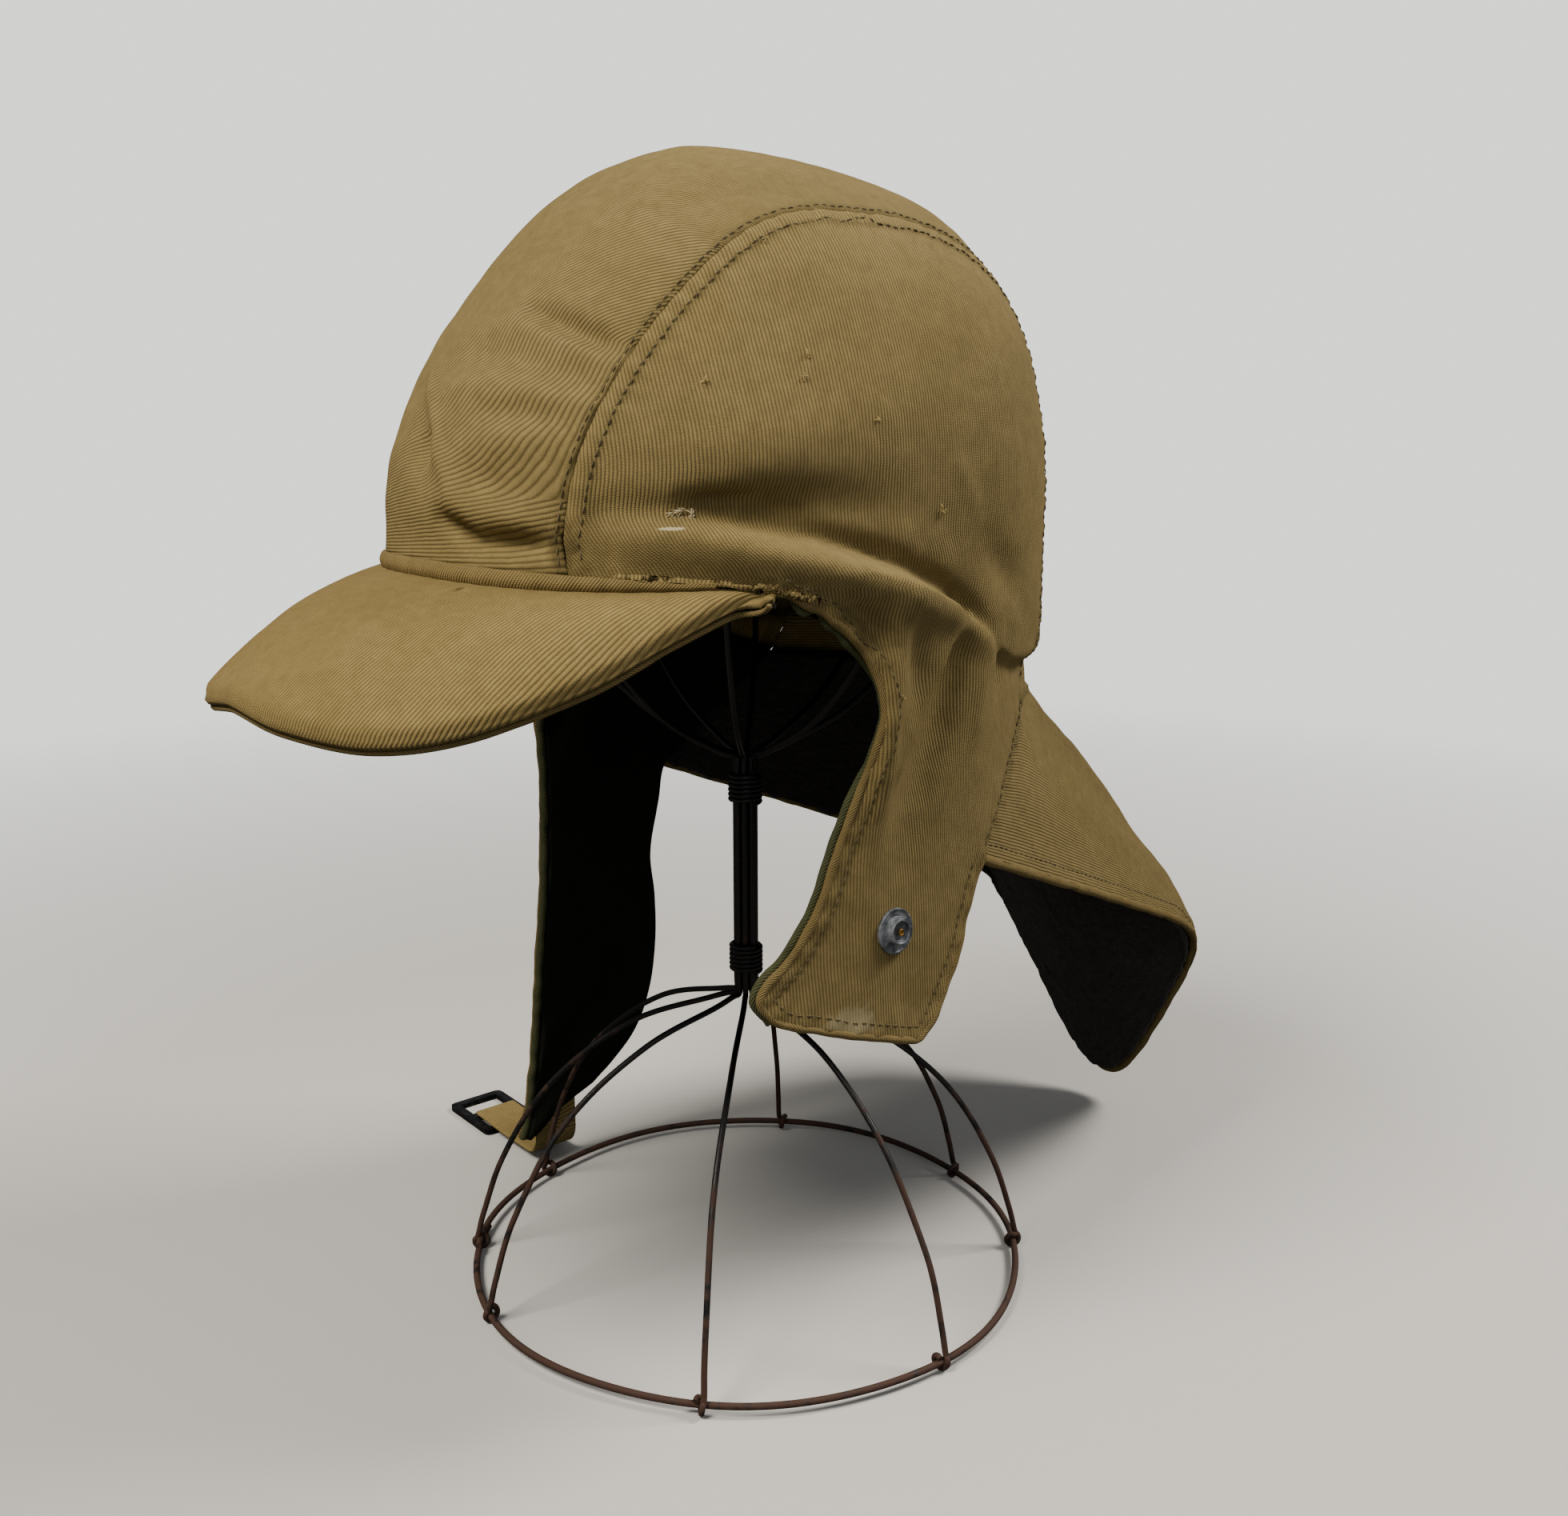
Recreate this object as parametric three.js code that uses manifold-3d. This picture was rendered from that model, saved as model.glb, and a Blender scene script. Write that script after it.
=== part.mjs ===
// Deck cap with ear flaps, a neck flap and a short bill, on a wire hat stand.
// Millimetres, +Z up, -Y the front, +X the wearer's left. Everything is laid out round the
// stand's post with z = 0 at the hat's rim, and the whole is set down on its base at the end.

import * as THREE from 'three';
import { mergeVertices } from 'three/addons/utils/BufferGeometryUtils.js';
import Module from 'manifold-3d';

const wasm = await Module();
wasm.setup();

// cloth
const clothWall = 1.6;
const liningWall = 2.2;
const seamGap = 0.5;
const layerGap = 0.9;

// crown
const crownHalfWidth = 88;
const frontReach = 108;
const backReach = 118;
const crownRise = 110;
const crownCentreY = -10;
const widestHeight = 20;
const crownPower = 2.2;
const frontPower = 1.68;
const backPower = 2.4;
const rimFrontHeight = 9;
const napeDepth = 44;
const rimFlare = 1.5;
const shoulderBulge = 9;
const shoulderSoftness = 7;
const shoulderFade = 38;
const crownLiningDrop = 5;

// ear flaps
const earDropLeft = 138;
const earDropRight = 240;
const earFlare = 19;
const templeY = -56;
const earRootY = 26;
const earRootDepth = 88;

// neck flap
const neckReach = 207;
const neckDrop = 243;
const neckShoulderX = 56;

// bill
const billReach = 179;
const billHalfWidth = crownHalfWidth - 5;
const billDrop = 37;
const billWall = 3.2;
const billRise = 7;
const weltHalfWidth = crownHalfWidth - 12;
const weltHeight = 4;
const weltGap = 1;
const weltWall = 2.4;

// snap stud, strap and slide
const studSides = 14;
const studFlangeRadius = 7;
const studRadius = 3.5;
const studHeight = 5;
const studBore = 1.2;
const studY = -17;
const studDepth = 101;
const strapWidth = 18;
const strapWall = 1.5;
const strapLength = 68;
const strapBend = 9;
const strapSteps = 18;
const slideLength = 34;
const slideWidth = 25;
const slideWall = 2.2;
const slideBar = 3.6;
const slideCorner = 2.4;

// wire stand
const rimAboveFloor = 255;
const wireRadius = 1.05;
const wireSides = 6;
const ringRadius = 99;
const ringWire = 3.2;
const ringSides = 32;
const wireSteps = 31;
const bundleRadius = 3.3;
const postTop = -66;
const postBottom = -153;
const bindingHeight = 11.5;
const bindingWall = 1.6;
const bindingCoils = 5;
const upperBindingDrop = 6;
const lowerBindingRise = 7.5;
const cageClearance = 17;
const headDomeRadius = crownHalfWidth - cageClearance;
const clearance = 0.3;

const khaki = new THREE.Color('#8d774a');
const olive = new THREE.Color('#23241b');
const pile = new THREE.Color('#3a352f');
const gunmetal = new THREE.Color('#4a4a4c');
const webbing = new THREE.Color('#9a8550');
const wireBlack = new THREE.Color('#1d1816');

function finish(colour, roughness, metalness) {
  return new THREE.MeshStandardMaterial({ color: colour, roughness, metalness });
}

// Reads one column of a table at a place between its rows, on straight lines.
function readTable(table, key, at, column) {
  let low = 0;
  while (low < table.length - 2 && at > table[low + 1][key]) {
    low += 1;
  }
  const from = table[low];
  const to = table[low + 1];
  const share = THREE.MathUtils.clamp((at - from[key]) / (to[key] - from[key]), 0, 1);
  return THREE.MathUtils.lerp(from[column], to[column], share);
}

function ease(from, to, value) {
  return THREE.MathUtils.smoothstep(value, from, to);
}

// The crown is a superellipsoid above its widest height and an upright wall below it.
// Its side outline, as a radius round the crown's centre; angle 0 is the back, pi the front.
function outlineRadius(angle) {
  const reach = Math.cos(angle) < 0 ? frontReach : backReach;
  const along = Math.abs(Math.cos(angle)) / reach;
  const up = Math.max(Math.sin(angle), 0) / crownRise;
  const power = THREE.MathUtils.lerp(frontPower, backPower, ease(-0.8, 0.5, Math.cos(angle)));
  return (along ** power + up ** power) ** (-1 / power);
}

// The rim rises a little from the temples to the middle of the front.
function rimHeightAt(x) {
  return rimFrontHeight * (1 - 0.5 * (x / crownHalfWidth) ** 2);
}

function crownHalfWidthAt(y, z) {
  const back = y - crownCentreY;
  const up = Math.max(z - widestHeight, 0);
  const share = Math.min(Math.hypot(back, up) / outlineRadius(Math.atan2(up, back)), 0.99);
  return crownHalfWidth * (1 - share ** crownPower) ** (1 / crownPower);
}

// Seam between the centre panel and a side panel. Station -1 is the front rim, 0 to 1 the
// arch over the top and 2 the nape; x is a share of the crown's half width.
const seamTable = [
  { station: -1, x: 0.6 },
  { station: 0, x: 0.585 },
  { station: 0.2, x: 0.62 },
  { station: 0.5, x: 0.66 },
  { station: 0.65, x: 0.63 },
  { station: 0.8, x: 0.56 },
  { station: 1, x: 0.6 },
  { station: 2, x: 0.79 },
];

function seamX(station) {
  return crownHalfWidth * readTable(seamTable, 'station', station, 'x');
}

// A point of the crown at a station along the strip and a distance x from the middle.
function crownPoint(x, station) {
  const shrink = (1 - Math.abs(x / crownHalfWidth) ** crownPower) ** (1 / crownPower);
  if (station < 0) {
    const z = widestHeight + station * (widestHeight - rimHeightAt(x));
    return new THREE.Vector3(x, crownCentreY - frontReach * shrink, z);
  }
  if (station > 1) {
    const z = widestHeight - (station - 1) * (widestHeight + napeDepth);
    return new THREE.Vector3(x, crownCentreY + backReach * shrink, z);
  }
  const angle = Math.PI * (1 - station);
  const radius = outlineRadius(angle) * shrink;
  const y = crownCentreY + radius * Math.cos(angle);
  return new THREE.Vector3(x, y, widestHeight + radius * Math.sin(angle));
}

// Fold line where the ear flap's shoulder stands out below the crown: y and height are shares
// of the crown's front reach and rise, bulge a share of the shoulder's.
const shoulderTable = [
  { y: -0.94, height: 0.17, bulge: 0 },
  { y: -0.66, height: 0.19, bulge: 0.2 },
  { y: -0.47, height: 0.16, bulge: 0.5 },
  { y: -0.17, height: 0.09, bulge: 1 },
  { y: 0.08, height: 0, bulge: 0.9 },
  { y: 0.3, height: -0.1, bulge: 0.45 },
  { y: 0.52, height: -0.25, bulge: -0.35 },
  { y: 0.9, height: -0.27, bulge: -0.6 },
];

// Folds and dents. Each lies at a place on the left side or middle and runs towards a
// direction; sizes are shares of the crown's rise, and a mirrored one is on both sides.
const foldTable = [
  { x: 0.95, y: -0.42, z: 0.24, dx: 0, dy: 1, dz: -0.08, length: 0.42, width: 0.06, depth: -0.035, both: 1 },
  { x: 0.9, y: -0.3, z: 0.4, dx: 0, dy: 1, dz: 0.1, length: 0.5, width: 0.12, depth: 0.02, both: 1 },
  { x: 0.42, y: -1.0, z: 0.6, dx: 1, dy: 0.3, dz: -0.75, length: 0.22, width: 0.07, depth: -0.06, both: 0 },
  { x: 0.3, y: -1.08, z: 0.42, dx: 1, dy: 0.2, dz: -0.4, length: 0.25, width: 0.09, depth: 0.035, both: 0 },
  { x: 0.15, y: -1.08, z: 0.12, dx: 1, dy: 0.1, dz: -0.1, length: 0.32, width: 0.06, depth: -0.05, both: 0 },
  { x: -0.35, y: -1.0, z: 0.55, dx: 0.2, dy: 0.2, dz: 1, length: 0.5, width: 0.09, depth: 0.045, both: 0 },
  { x: -0.62, y: -0.75, z: 0.5, dx: 0, dy: 0.3, dz: 1, length: 0.45, width: 0.12, depth: -0.06, both: 0 },
  { x: 0.35, y: 0.25, z: 1.15, dx: 0.3, dy: 1, dz: 0, length: 0.3, width: 0.12, depth: -0.03, both: 1 },
  { x: 1.0, y: 0.14, z: -0.3, dx: 0, dy: -0.5, dz: -1, length: 0.4, width: 0.08, depth: -0.045, both: 1 },
  { x: 1.0, y: -0.08, z: -0.35, dx: 0, dy: -0.15, dz: -1, length: 0.5, width: 0.07, depth: 0.03, both: 1 },
];

const foldRows = foldTable.flatMap((row) => {
  const rows = [row];
  if (row.both) {
    rows.push({ ...row, x: -row.x, dx: -row.dx });
  }
  return rows;
});

function foldHeight(point) {
  let height = 0;
  for (const row of foldRows) {
    const place = new THREE.Vector3(
      row.x * crownHalfWidth,
      crownCentreY + row.y * frontReach,
      row.z * crownRise,
    );
    const run = new THREE.Vector3(row.dx, row.dy, row.dz).normalize();
    const offset = point.clone().sub(place);
    const along = offset.dot(run);
    const across = offset.addScaledVector(run, -along).length();
    const inLength = (along / (row.length * crownRise)) ** 2;
    const inWidth = (across / (row.width * crownRise)) ** 2;
    height += row.depth * crownRise * Math.exp(-inLength - inWidth);
  }
  return height;
}

function shoulderHeight(point) {
  const y = (point.y - crownCentreY) / frontReach;
  const below = crownRise * readTable(shoulderTable, 'y', y, 'height') - point.z;
  const bulge = shoulderBulge * readTable(shoulderTable, 'y', y, 'bulge');
  const fade = 0.2 + 0.8 * Math.exp(-Math.max(below, 0) / shoulderFade);
  return bulge * ease(-shoulderSoftness, shoulderSoftness, below) * fade;
}

// Moves a plain crown point out or in by the shoulder and the folds, and flares the rim.
function drape(point) {
  const outward = new THREE.Vector3(
    point.x / crownHalfWidth ** 2,
    (point.y - crownCentreY) / frontReach ** 2,
    Math.max(point.z - widestHeight, 0) / crownRise ** 2,
  ).normalize();
  const frontness = ease(0.5, 1, (crownCentreY - point.y) / frontReach);
  const lowness = 1 - ease(rimFrontHeight / 3, widestHeight, point.z);
  const moved = point.clone().addScaledVector(outward, foldHeight(point) + shoulderHeight(point));
  moved.y -= rimFlare * frontness * lowness;
  return moved;
}

// Solid sheet between a surface and its copy pushed inwards. The surface takes u and v from
// 0 to 1; us and vs list where it is cut.
function sheetSolid(surface, us, vs, depth, wall) {
  const step = 1e-3;
  const positions = [];
  const indices = [];
  for (const layer of [depth, depth + wall]) {
    for (const u of us) {
      for (const v of vs) {
        const centre = surface(u, v);
        const alongU = surface(Math.min(u + step, 1), v).sub(surface(Math.max(u - step, 0), v));
        const alongV = surface(u, Math.min(v + step, 1)).sub(surface(u, Math.max(v - step, 0)));
        const normal = alongU.cross(alongV).normalize();
        centre.addScaledVector(normal, -layer);
        positions.push(centre.x, centre.y, centre.z);
      }
    }
  }
  const columns = vs.length;
  const rows = us.length;
  const inner = rows * columns;
  const quad = (a, b, c, d) => indices.push(a, b, c, a, c, d);
  for (let i = 0; i < rows - 1; i += 1) {
    for (let j = 0; j < columns - 1; j += 1) {
      const a = i * columns + j;
      quad(a, a + columns, a + columns + 1, a + 1);
      quad(inner + a, inner + a + 1, inner + a + columns + 1, inner + a + columns);
    }
    const left = i * columns;
    const right = left + columns - 1;
    quad(left, inner + left, inner + left + columns, left + columns);
    quad(right, right + columns, inner + right + columns, inner + right);
  }
  for (let j = 0; j < columns - 1; j += 1) {
    const last = (rows - 1) * columns + j;
    quad(j, j + 1, inner + j + 1, inner + j);
    quad(last, inner + last, inner + last + 1, last + 1);
  }
  const geometry = new THREE.BufferGeometry();
  geometry.setAttribute('position', new THREE.Float32BufferAttribute(positions, 3));
  geometry.setIndex(indices);
  return geometry;
}

function evenly(count) {
  return Array.from({ length: count + 1 }, (_, i) => i / count);
}

function named(name, geometry, material) {
  const mesh = new THREE.Mesh(geometry, material);
  mesh.name = name;
  return mesh;
}

// Centre panel, a strip from the front rim over the top to the nape.
const stripStations = [-1, -0.5, 0, 0.06, 0.12, 0.18, 0.24, 0.3, 0.36, 0.42, 0.48,
  0.52, 0.58, 0.64, 0.7, 0.76, 0.82, 0.88, 0.94, 1, 1.2, 1.35, 1.5, 1.65, 1.8, 2];

const stripColumns = 8;

function centrePanel() {
  const surface = (u, v) => {
    const station = -1 + 3 * u;
    const edge = seamX(station) - seamGap;
    return drape(crownPoint((2 * v - 1) * edge, station));
  };
  const us = stripStations.map((station) => (station + 1) / 3);
  const geometry = sheetSolid((u, v) => surface(u, 1 - v), us, evenly(stripColumns), 0, clothWall);
  return named('crown_center_panel', geometry, finish(khaki, 0.95, 0));
}

// Side panel and ear flap, cut in one. Rows run from a front edge to a rear edge in side view.
// Rim rows: y and z of the front end as shares of the temple's y and the front rim's height,
// the rear end as a seam station.
const rimRows = [
  { y: 1.66, z: 0.75, rear: 1.35 },
  { y: 1.42, z: 0.665, rear: 1.5 },
  { y: 1.2, z: 0.6, rear: 1.65 },
  { y: 1, z: 0.5, rear: 2 },
];

// Root rows: the front end as shares of the temple's y and the root's depth, the rear end as
// a share of the neck seam.
const rootRows = [
  { y: 0.68, z: -0.07, along: 0.25 },
  { y: 0.48, z: -0.2, along: 0.5 },
  { y: 0.41, z: -0.38, along: 0.76 },
  { y: 0.5, z: -0.62, along: 1 },
];

// Flap rows: y of both ends as shares of the ear root's y, z as shares of the flap's drop.
const flapRowsLeft = [
  { frontY: -1.35, frontZ: 0.52, rearY: 0.76, rearZ: 0.7 },
  { frontY: -1.6, frontZ: 0.64, rearY: 0.58, rearZ: 0.77 },
  { frontY: -1.92, frontZ: 0.74, rearY: 0.37, rearZ: 0.85 },
  { frontY: -2.24, frontZ: 0.8, rearY: 0.08, rearZ: 0.93 },
  { frontY: -2.36, frontZ: 0.84, rearY: -0.12, rearZ: 0.975 },
  { frontY: -2.16, frontZ: 0.89, rearY: -0.3, rearZ: 1 },
];
const flapRowsRight = [
  { frontY: -1, frontZ: 0.32, rearY: 0.9, rearZ: 0.43 },
  { frontY: -1, frontZ: 0.43, rearY: 0.78, rearZ: 0.52 },
  { frontY: -1.02, frontZ: 0.55, rearY: 0.88, rearZ: 0.6 },
  { frontY: -1.08, frontZ: 0.66, rearY: 0.92, rearZ: 0.69 },
  { frontY: -1.1, frontZ: 0.77, rearY: 0.84, rearZ: 0.78 },
  { frontY: -1.12, frontZ: 0.87, rearY: 0.65, rearZ: 0.85 },
  { frontY: -1.18, frontZ: 0.95, rearY: 0.3, rearZ: 0.9 },
  { frontY: -1.3, frontZ: 1, rearY: -0.05, rearZ: 0.935 },
];

const archStations = [0.48, 0.42, 0.36, 0.3, 0.24, 0.18, 0.12, 0.06, 0];
const templeRow = archStations.length + rimRows.length;

function sideView(y, z) {
  return new THREE.Vector2(y, z);
}

function seamSideView(station) {
  const point = crownPoint(seamX(station), station);
  return sideView(point.y, point.z);
}

function sideRows(flapRows, drop) {
  const rows = [];
  for (const station of archStations) {
    rows.push([seamSideView(station), seamSideView(1 - station)]);
  }
  rows.push([seamSideView(-1), seamSideView(1.2)]);
  for (const row of rimRows) {
    rows.push([sideView(row.y * templeY, row.z * rimFrontHeight), seamSideView(row.rear)]);
  }
  const nape = seamSideView(2);
  const root = sideView(earRootY, -earRootDepth);
  for (const row of rootRows) {
    rows.push([sideView(row.y * templeY, row.z * earRootDepth), nape.clone().lerp(root, row.along)]);
  }
  for (const row of flapRows) {
    rows.push([
      sideView(row.frontY * earRootY, -row.frontZ * drop),
      sideView(row.rearY * earRootY, -row.rearZ * drop),
    ]);
  }
  return rows;
}

function sideSurface(side, rows) {
  const last = rows.length - 1;
  return (u, v) => {
    const at = Math.min(u * last, last - 1e-6);
    const low = Math.floor(at);
    const front = rows[low][0].clone().lerp(rows[low + 1][0], at - low);
    const rear = rows[low][1].clone().lerp(rows[low + 1][1], at - low);
    const place = front.lerp(rear, v);
    const plain = new THREE.Vector3(
      side * crownHalfWidthAt(place.x, place.y),
      place.x,
      place.y,
    );
    const draped = drape(plain);
    draped.x += side * earFlare * (Math.min(place.y, 0) / earDropRight) ** 2;
    return draped;
  };
}

function facingOut(surface, side) {
  return side > 0 ? surface : (u, v) => surface(u, 1 - v);
}

const leftRows = sideRows(flapRowsLeft, earDropLeft);
const rightRows = sideRows(flapRowsRight, earDropRight);

const sideColumns = 11;

function sidePanel(name, side, rows) {
  const surface = facingOut(sideSurface(side, rows), side);
  const geometry = sheetSolid(surface, evenly(rows.length - 1), evenly(sideColumns), 0, clothWall);
  return named(name, geometry, finish(khaki, 0.95, 0));
}

// Ear lining, on the inner face from the temple down, a little in from the flap's edge.
const liningInset = 0.02;

function within(share) {
  return liningInset + (1 - 2 * liningInset) * share;
}

function earLining(name, side, rows) {
  const whole = sideSurface(side, rows);
  const last = rows.length - 1;
  const first = templeRow;
  const surface = facingOut((u, v) => {
    return whole(first / last + (0.995 - first / last) * u, within(v));
  }, side);
  const us = evenly(last - first);
  const geometry = sheetSolid(surface, us, evenly(sideColumns), clothWall + layerGap, liningWall);
  return named(name, geometry, finish(olive, 0.9, 0));
}

// Crown lining, a bowl inside the crown. Its rim runs level at the front and sides and drops
// to the nape at the back.
const liningDepth = clothWall + layerGap + crownLiningDrop;
const bowlSides = 24;
const bowlRows = 9;
const bowlTop = 0.96;

function crownRadiusAt(angle, z) {
  let low = 0;
  let high = frontReach + backReach;
  for (let i = 0; i < 40; i += 1) {
    const middle = (low + high) / 2;
    const x = Math.abs(middle * Math.cos(angle));
    const y = crownCentreY + middle * Math.sin(angle);
    const back = y - crownCentreY;
    const up = Math.max(z - widestHeight, 0);
    const share = Math.hypot(back, up) / outlineRadius(Math.atan2(up, back));
    const inside = (x / crownHalfWidth) ** crownPower + share ** crownPower < 1;
    low = inside ? middle : low;
    high = inside ? high : middle;
  }
  return low;
}

function crownBowl(depth) {
  const scale = 1 - depth / crownHalfWidth;
  const top = widestHeight + crownRise - depth;
  const points = [];
  for (let i = 0; i < bowlRows; i += 1) {
    const climb = i / bowlRows;
    for (let j = 0; j < bowlSides; j += 1) {
      const angle = (2 * Math.PI * j) / bowlSides;
      const rim = rimFrontHeight - (napeDepth - 3) * ease(0.55, 0.9, Math.sin(angle));
      const turn = Math.sin((climb * Math.PI) / 2);
      const z = THREE.MathUtils.lerp(rim, widestHeight + bowlTop * crownRise, turn);
      const radius = crownRadiusAt(angle, z);
      const lowness = 1 - ease(rimFrontHeight / 3, widestHeight, z);
      const flare = rimFlare * lowness * ease(0.5, 1, -Math.sin(angle));
      const drawn = z > widestHeight ? widestHeight + (z - widestHeight) * (top - widestHeight) / crownRise : z;
      points.push(new THREE.Vector3(
        scale * radius * Math.cos(angle),
        crownCentreY + scale * radius * Math.sin(angle) - flare,
        drawn,
      ));
    }
  }
  return { points, top: new THREE.Vector3(0, 0, top) };
}

function crownLining() {
  const outer = crownBowl(liningDepth);
  const inner = crownBowl(liningDepth + liningWall);
  const positions = [...outer.points, outer.top, ...inner.points, inner.top];
  const indices = [];
  const half = outer.points.length + 1;
  for (let i = 0; i < bowlRows; i += 1) {
    for (let j = 0; j < bowlSides; j += 1) {
      const next = (j + 1) % bowlSides;
      const a = i * bowlSides + j;
      const b = i * bowlSides + next;
      if (i === bowlRows - 1) {
        indices.push(a, b, half - 1);
        indices.push(half + b, half + a, 2 * half - 1);
      } else {
        indices.push(a, b, b + bowlSides, a, b + bowlSides, a + bowlSides);
        indices.push(half + b, half + a, half + a + bowlSides);
        indices.push(half + b, half + a + bowlSides, half + b + bowlSides);
      }
      if (i === 0) {
        indices.push(b, a, half + a, b, half + a, half + b);
      }
    }
  }
  const geometry = new THREE.BufferGeometry();
  const flat = positions.flatMap((point) => point.toArray());
  geometry.setAttribute('position', new THREE.Float32BufferAttribute(flat, 3));
  geometry.setIndex(indices);
  return named('lining_crown', geometry, finish(olive, 0.9, 0));
}

// Neck flap, hung from the nape and from the ear flaps' rear edges, with a pointed tail.
// Ribs run from the top edge to the hem: u 0 is the middle and 1 the neck seam, x, reach and
// drop are shares of the shoulder's x and of the tail's reach and drop, and bow is how far the
// rib stands out midway.
const neckRibs = [
  { u: 0, x: 0, reach: 1, drop: 1, bow: 13 },
  { u: 0.1, x: 0.17, reach: 1, drop: 0.99, bow: 13 },
  { u: 0.3, x: 0.66, reach: 0.965, drop: 0.8, bow: 12 },
  { u: 0.46, x: 1, reach: 0.937, drop: 0.66, bow: 9 },
  { u: 0.52, x: 1.06, reach: 0.9, drop: 0.63, bow: 8 },
  { u: 0.76, x: 1.4, reach: 0.5, drop: 0.49, bow: 4 },
];

function neckSurface() {
  const side = sideSurface(1, leftRows);
  const rib = (share, v) => {
    const top = drape(crownPoint(share * seamX(2), 2));
    top.z -= seamGap;
    const shoulder = neckRibs[3];
    const hem = new THREE.Vector3(
      neckShoulderX * readTable(neckRibs, 'u', share, 'x') / shoulder.x,
      neckReach * readTable(neckRibs, 'u', share, 'reach'),
      -neckDrop * readTable(neckRibs, 'u', share, 'drop'),
    );
    const middle = top.clone().lerp(hem, 0.5);
    middle.y += readTable(neckRibs, 'u', share, 'bow');
    middle.z += readTable(neckRibs, 'u', share, 'bow') * 0.4;
    return new THREE.QuadraticBezierCurve3(top, middle, hem).getPoint(v);
  };
  const outerRib = neckRibs[neckRibs.length - 1].u;
  return (u, v) => {
    const across = 2 * u - 1;
    const share = Math.abs(across);
    let point = rib(Math.min(share, outerRib), v);
    if (share > outerRib) {
      const edge = side((templeRow + rootRows.length * v) / (leftRows.length - 1), 1);
      edge.y += seamGap;
      edge.z -= seamGap * (1 - v);
      point = point.lerp(edge, (share - outerRib) / (1 - outerRib));
    }
    point.x *= Math.sign(across);
    return point;
  };
}

const neckRows = 10;
const neckColumns = [0, 0.1, 0.18, 0.27, 0.33, 0.4, 0.45, 0.5, 0.55, 0.6, 0.67, 0.73, 0.82, 0.9, 1];

function neckFlap() {
  const surface = neckSurface();
  const geometry = sheetSolid((u, v) => surface(1 - v, u), evenly(neckRows), neckColumns, 0, clothWall);
  return named('neck_flap', geometry, finish(khaki, 0.95, 0));
}

function neckLining() {
  const surface = neckSurface();
  const inset = (u, v) => surface(1 - within(v), within(u));
  const geometry = sheetSolid(inset, evenly(neckRows), neckColumns, clothWall + layerGap, liningWall);
  return named('lining_neck', geometry, finish(pile, 1, 0));
}

// The welt narrows towards the temples.
function weltDrop(x) {
  return weltHeight * (1 - 0.75 * (x / weltHalfWidth) ** 4);
}

// Bill. Ribs run from the crown out to the edge: x is a share of the bill's half width, reach
// of its reach and drop of its drop; root is the x where the rib leaves the crown.
const billRibs = [
  { u: 0, root: 0, x: 0, reach: 1, drop: 0.78 },
  { u: 0.22, root: 0.24, x: 0.34, reach: 0.98, drop: 0.87 },
  { u: 0.42, root: 0.48, x: 0.64, reach: 0.9, drop: 0.93 },
  { u: 0.6, root: 0.7, x: 0.84, reach: 0.78, drop: 0.82 },
  { u: 0.78, root: 0.86, x: 0.95, reach: 0.61, drop: 0.58 },
  { u: 0.9, root: 0.95, x: 1.01, reach: 0.46, drop: 0.26 },
  { u: 1, root: 0.985, x: 1.05, reach: 0.34, drop: 0 },
];

function rimPoint(x, below) {
  const point = drape(crownPoint(x, -1));
  point.z -= below;
  return point;
}

const billRows = 7;

function bill() {
  const surface = (u, v) => {
    const across = 2 * v - 1;
    const share = Math.abs(across);
    const side = Math.sign(across);
    const rootX = billHalfWidth * readTable(billRibs, 'u', share, 'root');
    const below = weltGap + weltDrop(Math.min(rootX, weltHalfWidth)) + clearance;
    const root = rimPoint(rootX, below);
    const edge = new THREE.Vector3(
      billHalfWidth * readTable(billRibs, 'u', share, 'x'),
      -billReach * readTable(billRibs, 'u', share, 'reach'),
      root.z - billDrop * readTable(billRibs, 'u', share, 'drop'),
    );
    const point = root.lerp(edge, u);
    point.z += billRise * 4 * u * (1 - u) * (1 - share ** 4);
    point.x *= side;
    return point;
  };
  const ribs = [0, 0.05, 0.11, 0.2, 0.29, 0.38, 0.44, 0.5, 0.56, 0.62, 0.71, 0.8, 0.89, 0.95, 1];
  const geometry = sheetSolid(surface, evenly(billRows), ribs, 0, billWall);
  return named('bill', geometry, finish(khaki, 0.95, 0));
}

const weltColumns = 22;

// Welt, the bound strip round the front of the rim above the bill.
function billWelt() {
  const surface = (u, v) => {
    const x = weltHalfWidth * Math.sin((v - 0.5) * Math.PI);
    const point = rimPoint(x, weltGap + weltDrop(x) * u);
    const out = new THREE.Vector3(x / crownHalfWidth ** 2, (point.y - crownCentreY) / frontReach ** 2, 0);
    return point.addScaledVector(out.normalize(), weltWall / 2);
  };
  const geometry = sheetSolid(surface, evenly(1), evenly(weltColumns), 0, weltWall);
  return named('bill_welt', geometry, finish(khaki, 0.95, 0));
}

function latheSolid(profile, sides) {
  const points = profile.map(([radius, z]) => new THREE.Vector2(radius, z));
  const geometry = new THREE.LatheGeometry(points, sides);
  geometry.rotateX(Math.PI / 2);
  geometry.deleteAttribute('normal');
  geometry.deleteAttribute('uv');
  return mergeVertices(geometry, 1e-4);
}

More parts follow.
